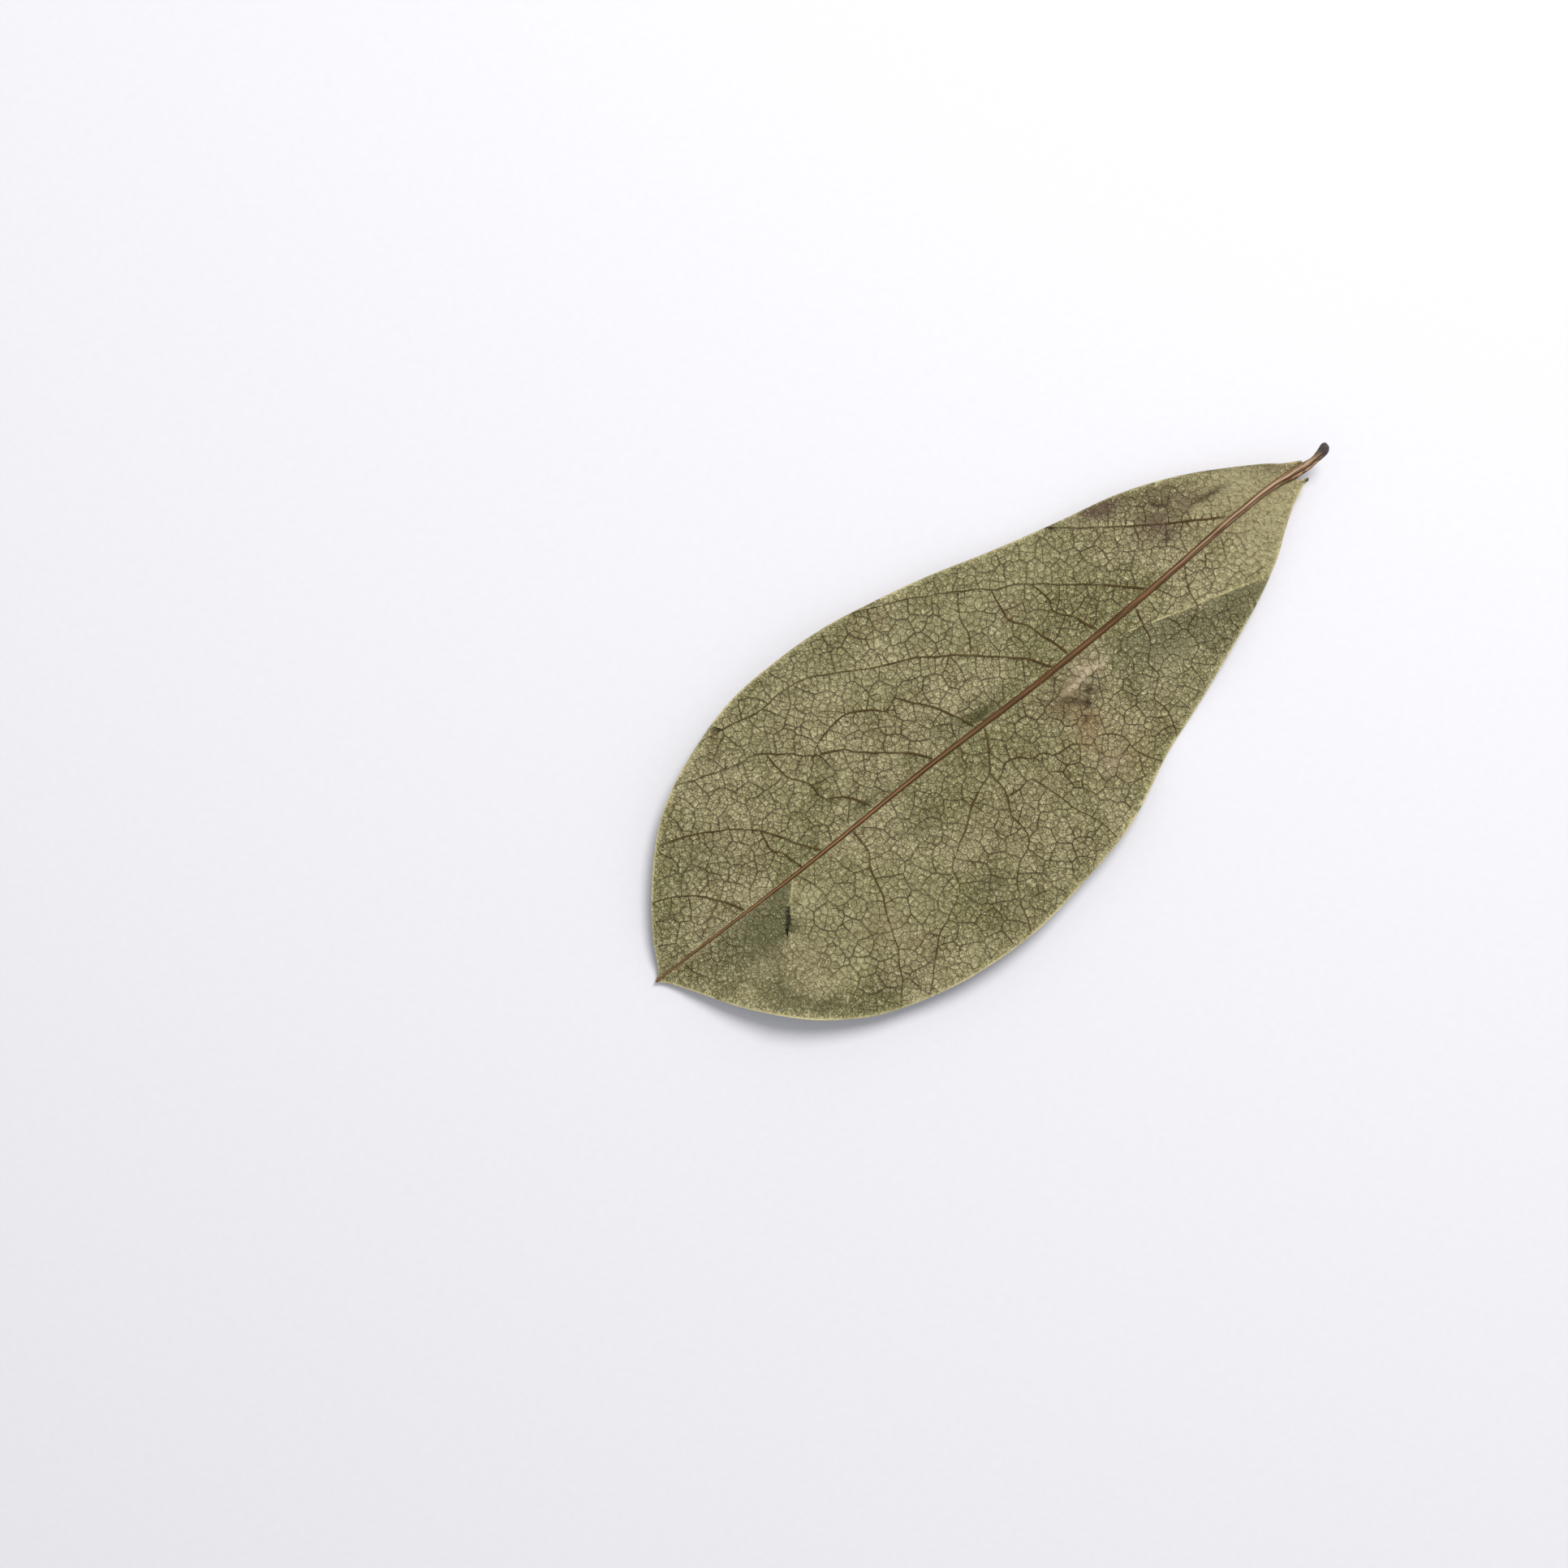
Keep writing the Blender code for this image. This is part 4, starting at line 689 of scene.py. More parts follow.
def joined(edges, walls):
    """Points and (start, end): kind links of the edges, with the shortest closed up and no loose ends."""
    index_of, links = {}, {}
    for start, end, kind in edges:
        pair = []
        for point in (start, end):
            key = (round(point.real, DIGITS), round(point.imag, DIGITS))
            pair.append(index_of.setdefault(key, (len(index_of), point))[0])
        links[tuple(pair)] = kind
    spots = np.array([point for _, point in index_of.values()])
    fixed = abs(nearest_on(*walls, spots) - spots) < TOUCHING
    owner = list(range(len(spots)))

    def find(index):
        """The point that a point has been closed up with."""
        while owner[index] != index:
            index = owner[index]
        return index

    for start, end in sorted(links, key=lambda pair: abs(spots[pair[0]] - spots[pair[1]])):
        start, end = find(start), find(end)
        if start != end and abs(spots[start] - spots[end]) < SHORTEST_SIDE * NET_SPACING:
            if fixed[end]:
                start, end = end, start
            if not fixed[start]:
                spots[start] = (spots[start] + spots[end]) / 2
            owner[end] = start
    merged = {}
    for (start, end), kind in links.items():
        pair = tuple(sorted((find(start), find(end))))
        if pair[0] != pair[1]:
            merged[pair] = min(kind, merged.get(pair, kind))
    return spots, without_loose_ends(merged, set(np.flatnonzero(fixed))), fixed


def relax(spots, links, fixed):
    """The spots, drawn towards their neighbours along the strongest lines that meet there."""
    around = defaultdict(list)
    for (start, end), kind in links.items():
        around[start].append((end, kind))
        around[end].append((start, kind))
    pulls = {}
    for index, ends in around.items():
        strong = [end for end, kind in ends if kind == CROSS]
        if not fixed[index]:
            pulls[index] = strong if len(strong) > 1 else [end for end, _ in ends]
    for _ in range(RELAX_ROUNDS):
        moved = spots.copy()
        for index, ends in pulls.items():
            moved[index] += RELAX_SHARE * (sum(spots[end] for end in ends) / len(ends) - spots[index])
        spots = moved
    return spots


def arrange(lines):
    """Cut lines of (kind, points) at their crossings into cells, each a list of (point index, edge kind)."""
    points, edges, kinds = [], [], []
    for kind, line in lines:
        for start, end in zip(line, line[1:]):
            edges.append((len(points), len(points) + 1))
            points += [Vector((start.real, start.imag)), Vector((end.real, end.imag))]
            kinds.append(kind)
    verts, out_edges, _, _, sources, _ = geometry.delaunay_2d_cdt(points, edges, [], 0, JOINED)
    places = [complex(*vert) for vert in verts]
    links = {}
    for edge, source in zip(out_edges, sources):
        if source:
            links[tuple(edge)] = min(kinds[index] for index in source)
    return places, trace_cells(places, without_loose_ends(links))


def trace_cells(points, links):
    """The closed cells of a net of links, anticlockwise, as (point index, kind of the link after it)."""
    kind_of = {}
    for (start, end), kind in links.items():
        kind_of[start, end] = kind_of[end, start] = kind
    around = defaultdict(list)
    for start, end in kind_of:
        around[start].append(end)
    for start, ends in around.items():
        ends.sort(key=lambda end: cmath.phase(points[end] - points[start]))
    cells, seen = [], set()
    for first in kind_of:
        ring, edge = [], first
        while edge not in seen:
            seen.add(edge)
            ring.append((edge[0], kind_of[edge]))
            ends = around[edge[1]]
            edge = (edge[1], ends[ends.index(edge[0]) - 1])
        corners = [points[index] for index, _ in ring]
        if sum(cross(start, end) for start, end in pairs(corners)) > 0:
            cells.append(ring)
    return cells


class Plan:
    """Flat triangles of the leaf's plan, with the relief and the marks of their corners."""

    def __init__(self):
        self.points, self.triangles = [], []
        self.marks = {name: [] for name in USUAL_MARKS}

    def add(self, point, **marks):
        """A corner with its marks, the usual ones where none are given."""
        self.points.append(complex(point))
        for name, values in self.marks.items():
            values.append(marks.get(name, USUAL_MARKS[name]))
        return len(self.points) - 1

    def turn(self, first, second, third):
        """Twice the area of a triangle, above zero where its corners run anticlockwise."""
        return cross(self.points[second] - self.points[first], self.points[third] - self.points[first])

    def fill(self, first, second, third):
        """A triangle, wound anticlockwise."""
        if len({first, second, third}) == 3:
            if self.turn(first, second, third) <= 0:
                second, third = third, second
            self.triangles.append((first, second, third))

    def fill_strip(self, start, end, inner_end, inner_start):
        """Two triangles between a line and its foot, split along the better diagonal."""
        even = min(self.turn(start, end, inner_end), self.turn(start, inner_end, inner_start))
        odd = min(self.turn(start, end, inner_start), self.turn(end, inner_end, inner_start))
        if even >= odd:
            self.fill(start, end, inner_end)
            self.fill(start, inner_end, inner_start)
        else:
            self.fill(start, end, inner_start)
            self.fill(end, inner_end, inner_start)


def fade_at(kind, point):
    """How much of its width and height a side vein keeps at a point."""
    if kind != VEIN:
        return 1.0
    share = LEFT_FADE_END if point.imag < 0 else RIGHT_FADE_END
    reach = share * float(blade_width(point))
    return 1 - VEIN_FADE * min(1.0, abs(point.imag) / max(SHORTEST_FADE, reach))


def darkness_at(kind, point):
    """How dark a line is at a point."""
    if kind not in (CROSS, NET):
        return DARKNESS[kind]
    past_base = BASE_SHARE + (1 - BASE_SHARE) * ramp(*BASE_RAMP, point.real)
    past_crease = ramp(*CREASE_RAMP, point.real) * ramp(*CREASE_SIDE, point.imag)
    return DARKNESS[kind] * past_base * (1 - (1 - CREASE_SHARE) * past_crease)


def inset_corner(before, corner, after, width_before, width_after):
    """The corner of a cell moved inwards by the widths of the two lines that meet there."""
    arrive, leave = corner - before, after - corner
    arrive_length, leave_length = abs(arrive), abs(leave)
    arrive, leave = arrive / arrive_length, leave / leave_length
    sine = cross(arrive, leave)
    if abs(sine) < STRAIGHT_SINE and dot(arrive, leave) > 0:
        inward = (arrive + leave) * 1j
        return corner + inward / abs(inward) * (width_before + width_after) / 2
    back = min(width_after / max(abs(sine), LEAST_SINE), LONGEST_MITRE * arrive_length)
    forward = min(width_before / max(abs(sine), LEAST_SINE), LONGEST_MITRE * leave_length)
    if sine > 0:
        return corner - arrive * back + leave * forward
    return corner + arrive * back - leave * forward


def segments_cross(start, end, other_start, other_end):
    """Whether two segments cross."""
    run, other = end - start, other_end - other_start
    first = cross(run, other_start - start) * cross(run, other_end - start)
    return first < 0 and cross(other, start - other_start) * cross(other, end - other_start) < 0


def misfits(corners, moved):
    """The sides of a cell whose strips lie the wrong way round, or all if the moved outline is tangled."""
    sides, wrong = list(pairs(moved)), []
    for i, ((corner, after), (start, end)) in enumerate(zip(pairs(corners), sides)):
        run = after - corner
        if dot(end - start, run) <= 0 or min(cross(run, start - corner), cross(run, end - corner)) < -NONE:
            wrong.append(i)
    meetings = ((side, other) for i, side in enumerate(sides) for other in sides[:i])
    if not wrong and any(segments_cross(*side, *other) for side, other in meetings):
        return list(range(len(sides)))
    return wrong


def inset_cell(corners, widths):
    """A cell's outline moved inwards by the half widths of its lines, as far as there is room."""
    count = len(corners)
    for scale in WIDTH_SCALES:
        moved = []
        for i in range(count):
            around = corners[i - 1], corners[i], corners[(i + 1) % count]
            moved.append(inset_corner(*around, widths[i - 1] * scale, widths[i] * scale))
        wrong = misfits(corners, moved)
        if not wrong:
            return moved
    for i in wrong:
        moved[i], moved[(i + 1) % count] = corners[i], corners[(i + 1) % count]
    if not misfits(corners, moved):
        return moved
    middle = sum(corners) / count
    moved = [corner + NARROW_CELL_SHARE * (middle - corner) for corner in corners]
    return corners if misfits(corners, moved) else moved


def add_cell(plan, cell, points, vertex_at, foot, tone):
    """The raised lines along a cell's sides and the panel between them."""
    corners = [points[index] for index, _ in cell]
    widths = [HALF_WIDTH[kind] * fade_at(kind, points[index]) for index, kind in cell]
    rim = [vertex_at(index) for index, _ in cell]
    inner = list(rim)
    for i, place in enumerate(inset_cell(corners, widths)):
        if place != corners[i]:
            inner[i] = plan.add(place, tone=tone)
            if FOOT in (cell[i][1], cell[i - 1][1]):
                foot.append(inner[i])
    for i, (_, kind) in enumerate(cell):
        after = (i + 1) % len(cell)
        if kind == FOOT:
            foot += [index for index in (rim[i], rim[after]) if index not in foot]
        else:
            plan.fill_strip(rim[i], rim[after], inner[after], inner[i])
    fill_panel(plan, inner, tone)


def fill_panel(plan, ring, tone):
    """Triangles round a ring's middle where it sees every side, and otherwise between the ring's corners."""
    outline = [plan.points[index] for index in ring]
    middle = sum(outline) / len(outline)
    if min(cross(start - middle, end - middle) for start, end in pairs(outline)) > JOINED:
        centre = plan.add(middle, above=-PANEL_DIP, tone=tone)
        for start, end in pairs(ring):
            plan.fill(centre, start, end)
        return
    places = [Vector((point.real, point.imag, 0)) for point in outline]
    for triangle in geometry.tessellate_polygon([places]):
        plan.fill(*(ring[corner] for corner in triangle))


def side_margin(side, foot):
    """The margin on one side, from the midrib's foot at the base to its foot at the tip."""
    table = LEFT_MARGIN if side < 0 else RIGHT_MARGIN
    corners = [complex(station, side * (distance - MARGIN_INSET)) for station, distance in table]
    if side < 0:
        return curve_through([foot[0], *corners, foot[-1]], MARGIN_STEP)
    torn = [complex(*corner) for corner in TORN_BASE]
    return np.concatenate([[foot[0], *torn], curve_through([*corners, foot[-1]], MARGIN_STEP)])


def wobbled(path, layer):
    """A path with small sideways bends."""
    run = np.gradient(path)
    reach = VEIN_WOBBLE + WOBBLE_GROWTH * abs(path.imag)
    return path + 1j * run / abs(run) * reach * noise_at(path, WOBBLE_LENGTH, WOBBLE_LENGTH, layer)


def side_lines(side):
    """The foot, margin, vein and crease lines of the half blade on one side, as (kind, points)."""
    start = LEFT_START if side < 0 else RIGHT_START
    foot = rib_points(np.append(np.arange(start, TIP_STATION, VEIN_STEP), TIP_STATION), side)
    lines = [(FOOT, foot), (MARGIN, side_margin(side, foot))]
    if side > 0:
        crease = between_lines(curve_through(CREASE, CREASE_STEP), [line for _, line in lines])
        lines = [(kind, with_stops(line, crease[[0, -1]])) for kind, line in lines]
        for start, end in zip(crease, crease[1:]):
            kind = FOLD if end.real < SLIT_START else SLIT if end.real < SLIT_END else NET
            lines.append((kind, np.array([start, end])))
    for layer, corners in enumerate(LEFT_VEINS if side < 0 else RIGHT_VEINS):
        path = curve_through([(station, side * distance) for station, distance in corners], VEIN_STEP)
        vein = between_lines(wobbled(path, layer + WOBBLE_LAYER), [line for _, line in lines])
        lines = [(kind, with_stops(line, vein[[0, -1]])) for kind, line in lines] + [(VEIN, vein)]
    return lines


def add_half_blade(plan, side, draw):
    """One half of the blade. Gives the plan's corners along the midrib's foot, from base to tip."""
    lines = side_lines(side)
    paths = [path for _, path in lines]
    walls = np.hstack([starts_and_runs(path) for path in paths])
    area_points, areas = arrange(lines)
    edges = []
    for area in areas:
        outline = np.array([area_points[index] for index, _ in area])
        seeds, middles = scatter(outline, NET_SPACING, draw), scatter(outline, CROSS_SPACING, draw)
        if len(seeds) > 1:
            groups = np.zeros(len(seeds))
            if len(middles):
                groups = np.argmin(abs(seeds[:, None] - middles[None]), axis=1)
            edges += cell_edges(seeds, groups, outline, paths, walls)
    spots, links, fixed = joined(edges, walls)
    spots = relax(spots, links, fixed)
    stops = np.concatenate([spots[fixed], *(path[[0, -1]] for path in paths)])
    lines = [(kind, thinned(with_stops(line, stops), stops)) for kind, line in lines]
    net = [(kind, spots[list(pair)]) for pair, kind in links.items()]
    if side > 0:
        net.append((FOLD, curve_through(STRIP_FOLD, CREASE_STEP)))
    points, cells = arrange(lines + net)
    strongest = {}
    for cell in cells:
        for (index, kind), (_, kind_before) in zip(cell, cell[-1:] + cell[:-1]):
            strongest[index] = min(strongest.get(index, NET), kind, kind_before)
    made, foot = {}, []

    def vertex_at(index):
        """The plan's corner on the lines that meet at a point, made once."""
        if index not in made:
            point, kind = points[index], strongest[index]
            fade = fade_at(kind, point)
            # The rim mark gives the margin its pale colour and paints a highlight along the crests of the
            # folds.
            made[index] = plan.add(
                point, above=RELIEF[kind] * fade, below=-LOWER_GROOVE,
                dark=darkness_at(kind, point) * (1 + fade) / 2, rim=float(kind in (MARGIN, FOLD)),
            )
        return made[index]

    for cell in cells:
        add_cell(plan, cell, points, vertex_at, foot, draw.random())
    return sorted(foot, key=lambda index: plan.points[index].real)


def zip_lines(plan, first, second):
    """Triangles between two rows of corners that both run from base to tip."""
    i = j = 0
    while i < len(first) - 1 or j < len(second) - 1:
        step_first = j == len(second) - 1
        if i < len(first) - 1 and not step_first:
            step_first = plan.points[first[i + 1]].real < plan.points[second[j + 1]].real
        if step_first:
            plan.fill(first[i], first[i + 1], second[j])
            i += 1
        else:
            plan.fill(first[i], second[j], second[j + 1])
            j += 1


def add_rib_line(plan, rows, across, above, below):
    """A line of corners along the midrib, with their heights over and under the blade's middle."""
    line = []
    for point, high, low in zip(rib_points(rows, across), above, below):
        high, low = high + SOLID_MIDDLE - BLADE_THICKNESS, low - SOLID_MIDDLE
        line.append(plan.add(point, above=high, below=low, across=across))
    return line


def add_rib(plan, left_foot, right_foot):
    """The stalk and the midrib, joined to the feet of both half blades."""
    stalk_rows = np.arange(STALK_STATION, STALK_END, STALK_STEP)
    rib_rows = np.append(np.arange(FIRST_RIB_ROW, TIP_STATION - 1, RIB_STEP), TIP_STATION)
    rows = np.concatenate([stalk_rows, rib_rows])
    lines = []
    for across in RIB_ACROSS[1:-1]:
        dome = math.sqrt(1 - across**2)
        groove = rib_groove(rows) * math.exp(-(((across - GROOVE_PLACE) / GROOVE_SHARE) ** 2))
        above = upper_edge(rows) + (rib_crown(rows) - upper_edge(rows)) * dome - groove
        below = lower_edge(rows) + (rib_belly(rows) - lower_edge(rows)) * dome
        lines.append(add_rib_line(plan, rows, across, above, below))
    for across, foot, inner in ((-1.0, left_foot, lines[0]), (1.0, right_foot, lines[-1])):
        base = plan.points[foot[0]].real
        edge_rows = stalk_rows[stalk_rows < base - FOOT_GAP]
        rim = add_rib_line(plan, edge_rows, across, upper_edge(edge_rows), lower_edge(edge_rows))
        for index in foot:
            plan.marks["across"][index] = across
        zip_lines(plan, rim + foot, inner)
    for line, after in zip(lines, lines[1:]):
        zip_lines(plan, line, after)


def stain_and_light_weights(points):
    """The strength at each point and the colour of each stain, painted light and band of painted shade, in
    order.
    """
    warp, other = (noise_at(points, STAIN_WARP_LENGTH, STAIN_WARP_LENGTH, layer) for layer in WARP_LAYERS)
    warp = STAIN_WARP * (warp + 1j * other)
    for name, marks in STAINS_AND_PAINTED_LIGHT:
        for station, offset, length, width, direction, amount in marks:
            warped = points + warp * min(1.0, width / FULL_WARP_WIDTH)
            away = (warped - complex(station, offset)) * np.exp(-1j * math.radians(direction))
            yield amount * np.exp(-((away.real / length) ** 2) - (away.imag / width) ** 2), name
    for start, end, reach, fade_in, fade_out, fade_across, amount in SHADES:
        beyond = -past_line(start, end, points.real, points.imag)
        weight = amount * ramp(-SHADE_SOFTNESS, SHADE_SOFTNESS, beyond)
        weight *= 1 - ramp(SHADE_FADE_START * reach, reach, beyond)
        weight *= ramp(*fade_in, points.real) * ramp(*fade_out, points.real)
        yield weight * ramp(*fade_across, points.imag) * (points.imag > 0), "shade"


def stain_and_light_colours(points):
    """The colour and strength of the stains and painted light and shade at each point, as rows of red, green,
    blue and strength.
    """
    colours, strength = np.zeros((len(points), 3)), np.zeros(len(points))
    for weight, name in stain_and_light_weights(points):
        strength = weight + strength * (1 - weight)
        share = (weight / np.maximum(strength, NONE))[:, None]
        colours = colours * (1 - share) + np.array(linear(name)[:3]) * share
    return np.column_stack([colours, strength])


def linear(name):
    """A named colour as the light values that Blender works with, by the usual curve of screens."""
    values = [channel / 255 for channel in COLOURS[name]]
    light = [value / 12.92 if value < 0.04045 else ((value + 0.055) / 1.055) ** 2.4 for value in values]
    return (*light, 1.0)


def give_attribute(mesh, name, kind, values):
    """Values at the corners of a mesh that its materials can follow."""
    attribute = mesh.attributes.new(name, kind, "POINT")
    field = "color" if kind == "FLOAT_COLOR" else "value"
    attribute.data.foreach_set(field, np.ravel(values).astype(np.float32))


def leaf_mesh(plan, blade_triangles, shift):
    """The closed mesh between the plan's upper and lower faces."""
    points = np.array(plan.points)
    base = sheet_height(points)
    middle = (STALK_STATION + TIP_STATION) / 2
    spots = np.column_stack([middle + LENGTH_SHARE * (points.real - middle), points.imag, base])
    upper, lower = spots.copy(), spots.copy()
    upper[:, 2] += BLADE_THICKNESS + np.array(plan.marks["above"])
    lower[:, 2] -= np.array(plan.marks["below"])
    count, rib_triangles = len(points), len(plan.triangles) - blade_triangles
    sides = {side for triangle in plan.triangles for side in pairs(triangle)}
    faces = list(plan.triangles) + [(a + count, c + count, b + count) for a, b, c in plan.triangles]
    slots = [BLADE] * blade_triangles + [RIB] * rib_triangles
    slots += [UPPER_SIDE] * blade_triangles + [UPPER_RIB] * rib_triangles
    for start, end in sorted(sides):
        if (end, start) not in sides:
            faces += [(start + count, end + count, end), (start + count, end, start)]
            slots += [EDGE if points[start].real > LEFT_START else RIB] * 2
    mesh = bpy.data.meshes.new("dried_leaf")
    mesh.from_pydata(((np.vstack([upper, lower]) + shift) * MM).tolist(), [], faces)
    mesh.polygons.foreach_set("material_index", slots)
    for name in COLOUR_MARKS:
        give_attribute(mesh, name, "FLOAT", np.tile(plan.marks[name], 2))
    give_attribute(mesh, "stain_and_painted_light", "FLOAT_COLOR", np.tile(stain_and_light_colours(points), (2, 1)))
    mesh.shade_smooth()
    mesh.set_sharp_from_angle(angle=math.radians(SHARP_ANGLE))
    return mesh


class Nodes:
    """Short ways to add and link the nodes of one material."""

    def __init__(self, name):
        self.material = bpy.data.materials.new(name)
        self.material.use_nodes = True
        self.tree = self.material.node_tree
        self.shader = self.tree.nodes["Principled BSDF"]
        self.place = self.scaled(self.add("TexCoord", {}, "Object"), (1 / MM,) * 3)
        self.sources = {}

    def put(self, socket, value):
        """Link a socket to another node's output, or set its value, which may be the name of a colour."""
        if isinstance(value, bpy.types.NodeSocket):
            self.tree.links.new(value, socket)
        else:
            socket.default_value = linear(value) if isinstance(value, str) else value

    def add(self, kind, inputs, output=0, **settings):
        """A node with its inputs linked or set. Gives one of its outputs."""
        node = self.tree.nodes.new("ShaderNode" + kind)
        for name, value in settings.items():
            setattr(node, name, value)
        for name, value in inputs.items():
            self.put(node.inputs[name], value)
        return node.outputs[output]

    def scaled(self, place, scale):
        """A place with each of its axes scaled."""
        return self.add("Mapping", {"Vector": place, "Scale": scale})

    def attribute(self, name, output="Fac"):
        """One of the values that the mesh carries."""
        return self.add("Attribute", {}, output, attribute_name=name)

    def maths(self, operation, first, second=0.0):
        """What an operation makes of one or two values."""
        return self.add("Math", {0: first, 1: second}, operation=operation)

    def times(self, first, second):
        """The product of two values."""
        return self.maths("MULTIPLY", first, second)

    def mix(self, share, first, second):
        """One colour mixed into another by a share."""
        inputs = {MIX_SHARE: share, MIX_FIRST: first, MIX_SECOND: second}
        return self.add("Mix", inputs, MIXED, data_type="RGBA")

    def fit(self, value, low, high, to_low=0.0, to_high=1.0):
        """A value fitted from one range to another and kept within it."""
        inputs = {"Value": value, "From Min": low, "From Max": high, "To Min": to_low, "To Max": to_high}
        return self.add("MapRange", inputs, interpolation_type="SMOOTHSTEP")

    def bell(self, value, middle, width):
        """1 where a value is at the middle, and 0 from a width away on."""
        return self.fit(self.maths("ABSOLUTE", self.maths("SUBTRACT", value, middle)), width, 0.0)

    def grain(self, size, detail, roughness=GRAIN_ROUGHNESS, distortion=0.0, stretch=None):
        """Noise from 0 to 1 with spots of a size in millimetres."""
        place = self.scaled(self.place, stretch) if stretch else self.place
        inputs = {"Vector": place, "Scale": 1 / size, "Detail": detail, "Roughness": roughness}
        return self.add("TexNoise", {**inputs, "Distortion": distortion})

    def fine_mesh(self):
        """How far each place is from the nearest line of a fine uneven mesh, 0 on the line."""
        length, reach = MESH_BEND_LENGTH * MESH_SIZE, MESH_BEND * MESH_SIZE
        inputs = {"Vector": self.place, "Scale": 1 / length, "Detail": MESH_BEND_DETAIL}
        bend = {0: self.add("TexNoise", inputs, 1), 1: (reach,) * 3}
        bend = self.add("VectorMath", bend, operation="MULTIPLY")
        place = self.add("VectorMath", {0: self.place, 1: bend}, operation="ADD")
        inputs = {"Vector": self.scaled(place, (1.0, 1.0, 0.0)), "Scale": 1 / MESH_SIZE}
        return self.add("TexVoronoi", inputs, feature="DISTANCE_TO_EDGE")

    def source(self, name):
        """What patterns follow: a grain, the fine mesh, the station or a mark. Each is made once."""
        if name not in self.sources:
            if name in GRAINS:
                made = self.grain(*GRAINS[name])
            elif name == "mesh":
                made = self.fine_mesh()
            elif name == "station":
                along = self.add("SeparateXYZ", {"Vector": self.place}, "X")
                made = self.maths("SUBTRACT", along, station_shift())
            else:
                made = self.attribute(name)
            self.sources[name] = made
        return self.sources[name]

    def pattern(self, name):
        """One of the table's patterns."""
        source, *ranges = PATTERNS[name]
        return self.fit(self.source(source), *ranges)

    def layered(self, colour, *names):
        """A colour with patterns over it, each in the colour of its own name."""
        for name in names:
            colour = self.mix(self.pattern(name), colour, name)
        return colour

    def finish(self, colour, roughness, height, depth):
        """Join the colour, roughness and fine relief to the shader."""
        bump = self.add("Bump", {"Height": height, "Strength": 1.0, "Distance": depth * MM})
        values = {"Base Color": colour, "Roughness": roughness, "Specular IOR Level": SHINE, "Normal": bump}
        for name, value in values.items():
            self.put(self.shader.inputs[name], value)
        return self.material


def underside_material():
    """The dried olive underside with its darker net, its stains, its pale rim and painted light and shade."""
    nodes = Nodes("dried_underside")
    stain_and_painted_light, strength = nodes.attribute("stain_and_painted_light", "Color"), nodes.attribute("stain_and_painted_light", "Alpha")
    colour = nodes.layered("olive", "straw")
    colour = nodes.mix(nodes.times(nodes.source("tone"), TONE_SHARE), colour, "moss")
    # The flecks are partly painted shade and highlight on the fine relief that the fleck grain also raises.
    colour = nodes.layered(colour, "mottle", "mesh lines", "dark flecks and shade")
    speckled = nodes.times(strength, nodes.pattern("speckles"))
    colour = nodes.layered(nodes.mix(speckled, colour, stain_and_painted_light), "pale flecks and highlights", "threads")
    dark = nodes.times(nodes.maths("POWER", nodes.source("dark"), DARK_POWER), nodes.pattern("ripples"))
    # The slit's colour here is painted shade inside the tear.
    colour = nodes.mix(dark, colour, nodes.layered("net", "veins", "slit shade below"))
    colour = nodes.mix(nodes.fit(speckled, *STAIN_OVER_LINES), colour, stain_and_painted_light)
    # The rim is the margin's pale colour and a painted highlight along the folds' crests.
    rim = nodes.times(nodes.maths("POWER", nodes.source("rim"), RIM_POWER), nodes.pattern("rim wear and uneven highlight"))
    colour = nodes.mix(nodes.times(rim, nodes.fit(strength, *RIM_OVER_STAIN)), colour, "pale rim and fold highlight")
    height = nodes.maths("ADD", nodes.times(nodes.source("fleck"), FLECK_RELIEF), nodes.source("thread"))
    height = nodes.maths("ADD", height, nodes.pattern("mesh ridges"))
    return nodes.finish(colour, nodes.pattern("roughness"), height, UNDERSIDE_DEPTH)


def upper_side_colour(nodes):
    """The grey-green of the upper side with its flecks."""
    return nodes.layered("slate", "grey green", "grey flecks")


def upper_side_material():
    """The grey-green upper side with its fine pale network, and painted shade in the slit."""
    nodes = Nodes("dried_upper_side")
    # The slit's dark colour is painted shade inside the tear.
    colour = nodes.layered(upper_side_colour(nodes), "pale network", "slit shade from above")
    colour = nodes.mix(nodes.source("rim"), colour, "dull rim")
    return nodes.finish(colour, nodes.pattern("upper roughness"), nodes.source("upper fleck"), UPPER_DEPTH)


def upper_rib_material():
    """The thin brown line of the midrib on the upper side, and the stalk."""
    nodes = Nodes("midrib_upper_side")
    line = nodes.bell(nodes.source("across"), 0.0, FLAT_RIB_WIDTH)
    colour = nodes.mix(line, upper_side_colour(nodes), "flat midrib")
    flecks = nodes.source("upper fleck")
    return nodes.finish(stalk_colour(nodes, colour, flecks), RIB_ROUGHNESS, flecks, UPPER_DEPTH)


def stalk_colour(nodes, colour, streaks):
    """A colour that turns dark along the stalk."""
    uneven = nodes.times(nodes.source("stalk end"), STALK_UNEVENNESS)
    dark = nodes.fit(nodes.maths("ADD", nodes.source("station"), uneven), *STALK_DARK)
    return nodes.mix(dark, colour, nodes.mix(streaks, "stalk", "stalk streaks"))


def edge_material():
    """The pale broken edge of the blade."""
    nodes = Nodes("leaf_edge")
    colour = nodes.layered("broken edge", "pale edge")
    return nodes.finish(colour, EDGE_ROUGHNESS, nodes.source("edge crumb"), EDGE_DEPTH)


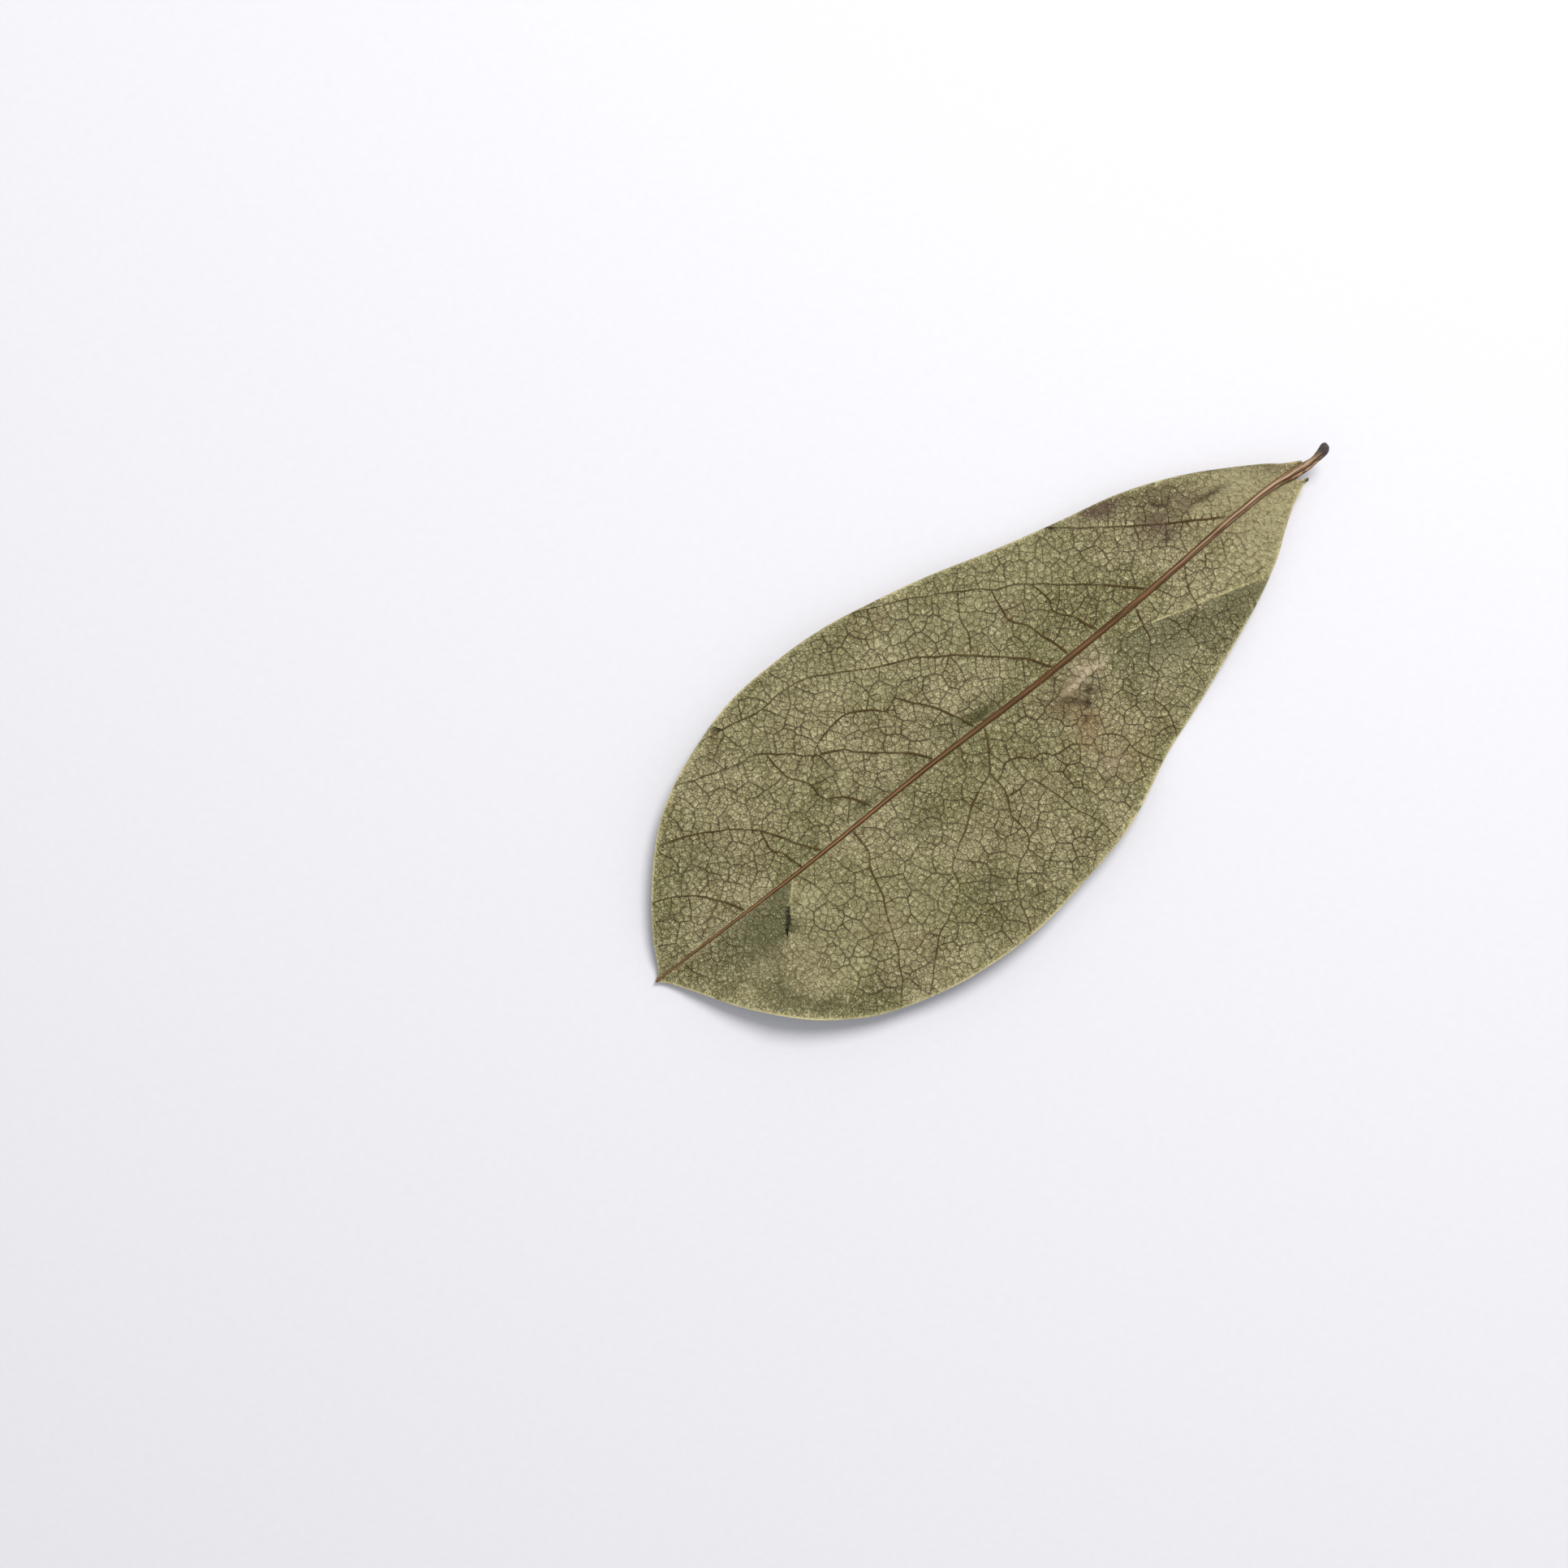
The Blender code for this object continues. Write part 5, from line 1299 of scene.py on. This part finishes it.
def rib_material():
    """The reddish-brown midrib, tan and grooved at the blade's base, with painted highlight and shade, and
    the dark stalk.
    """
    nodes = Nodes("midrib")
    streaks, across = nodes.source("streak"), nodes.source("across")
    colour = nodes.layered("chestnut", "russet", "rib blotches")
    colour = nodes.mix(nodes.pattern("rib base"), colour, nodes.layered("cocoa", "base streaks"))
    # Painted highlights on the midrib's crest and base ridge, and painted shade in its groove.
    for middle, width, *stations, name in RIB_HIGHLIGHTS_AND_SHADE:
        share = nodes.times(nodes.bell(across, middle, width), nodes.fit(nodes.source("station"), *stations))
        colour = nodes.mix(share, colour, name)
    colour = nodes.mix(nodes.fit(nodes.maths("ABSOLUTE", across), *RIB_FOOT), colour, "rib foot")
    return nodes.finish(stalk_colour(nodes, colour, streaks), RIB_ROUGHNESS, streaks, RIB_DEPTH)


def station_shift():
    """What is added to a station to give its place along the frame's X axis, in millimetres."""
    low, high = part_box("leaf")
    return (low.x + high.x) / 2 / MM - (STALK_STATION + TIP_STATION) / 2


def offset_shift(points):
    """What is added to an offset to give its place along the frame's Y axis, in millimetres."""
    low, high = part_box("leaf")
    return (low.y + high.y) / 2 / MM - (points.imag.min() + points.imag.max()) / 2


def in_scene(name, data):
    """A new object of the scene."""
    made = bpy.data.objects.new(name, data)
    bpy.context.scene.collection.objects.link(made)
    return made


def make_leaf():
    """The whole leaf as one piece, in the place of its solid."""
    draw = random.Random(NET_SEED)
    plan = Plan()
    left_foot = add_half_blade(plan, -1, draw)
    right_foot = add_half_blade(plan, 1, draw)
    blade_triangles = len(plan.triangles)
    add_rib(plan, left_foot, right_foot)
    across = offset_shift(np.array(plan.points))
    mesh = leaf_mesh(plan, blade_triangles, np.array([station_shift(), across, 0.0]))
    leaf = in_scene("dried_leaf", mesh)
    for maker in (underside_material, upper_side_material, edge_material, rib_material, upper_rib_material):
        mesh.materials.append(maker())
    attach(leaf, "root")
    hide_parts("leaf")
    return across


def make_floor():
    """A plain pale floor under the leaf."""
    mesh = bpy.data.meshes.new("floor")
    corners = [(x * FLOOR_HALF, y * FLOOR_HALF, 0) for x, y in ((-1, -1), (1, -1), (1, 1), (-1, 1))]
    mesh.from_pydata(corners, [], [(0, 1, 2, 3)])
    floor = in_scene("floor", mesh)
    nodes = Nodes("pale_floor")
    grain = nodes.source("floor")
    colour = nodes.mix(grain, "floor", "floor spots")
    mesh.materials.append(nodes.finish(colour, FLOOR_ROUGHNESS, grain, FLOOR_DEPTH))


def make_light():
    """Soft light from all sides, and a broad lamp over the upper right of the view."""
    world = bpy.data.worlds.new("soft_room")
    bpy.context.scene.world = world
    world.use_nodes = True
    background = world.node_tree.nodes["Background"]
    background.inputs["Color"].default_value = SKY_COLOUR
    background.inputs["Strength"].default_value = SKY_STRENGTH
    lamp = bpy.data.lights.new("broad_lamp", "AREA")
    lamp.shape = "DISK"
    lamp.size, lamp.energy, lamp.color = LAMP_SIZE, LAMP_ENERGY, LAMP_COLOUR
    holder = in_scene("broad_lamp", lamp)
    holder.location = Matrix.Rotation(math.radians(PHOTO_TURN), 3, "Z") @ Vector(LAMP_PLACE)
    holder.rotation_euler = (-holder.location).to_track_quat("-Z", "Y").to_euler()


def make_camera(across):
    """The photograph's view, straight down."""
    camera = bpy.data.cameras.new("camera")
    camera.sensor_width = SENSOR_WIDTH
    camera.lens = SENSOR_WIDTH * CAMERA_HEIGHT / PHOTO_WIDTH
    camera.clip_start = NEAREST_VIEW
    holder = in_scene("camera", camera)
    place = PHOTO_CENTRE + complex(station_shift(), across)
    holder.location = Vector((place.real, place.imag, CAMERA_HEIGHT)) * MM
    holder.rotation_euler = (0, 0, math.radians(PHOTO_TURN))
    bpy.context.scene.camera = holder


make_camera(make_leaf())
make_floor()
make_light()
bpy.context.scene.view_settings.view_transform = "Standard"
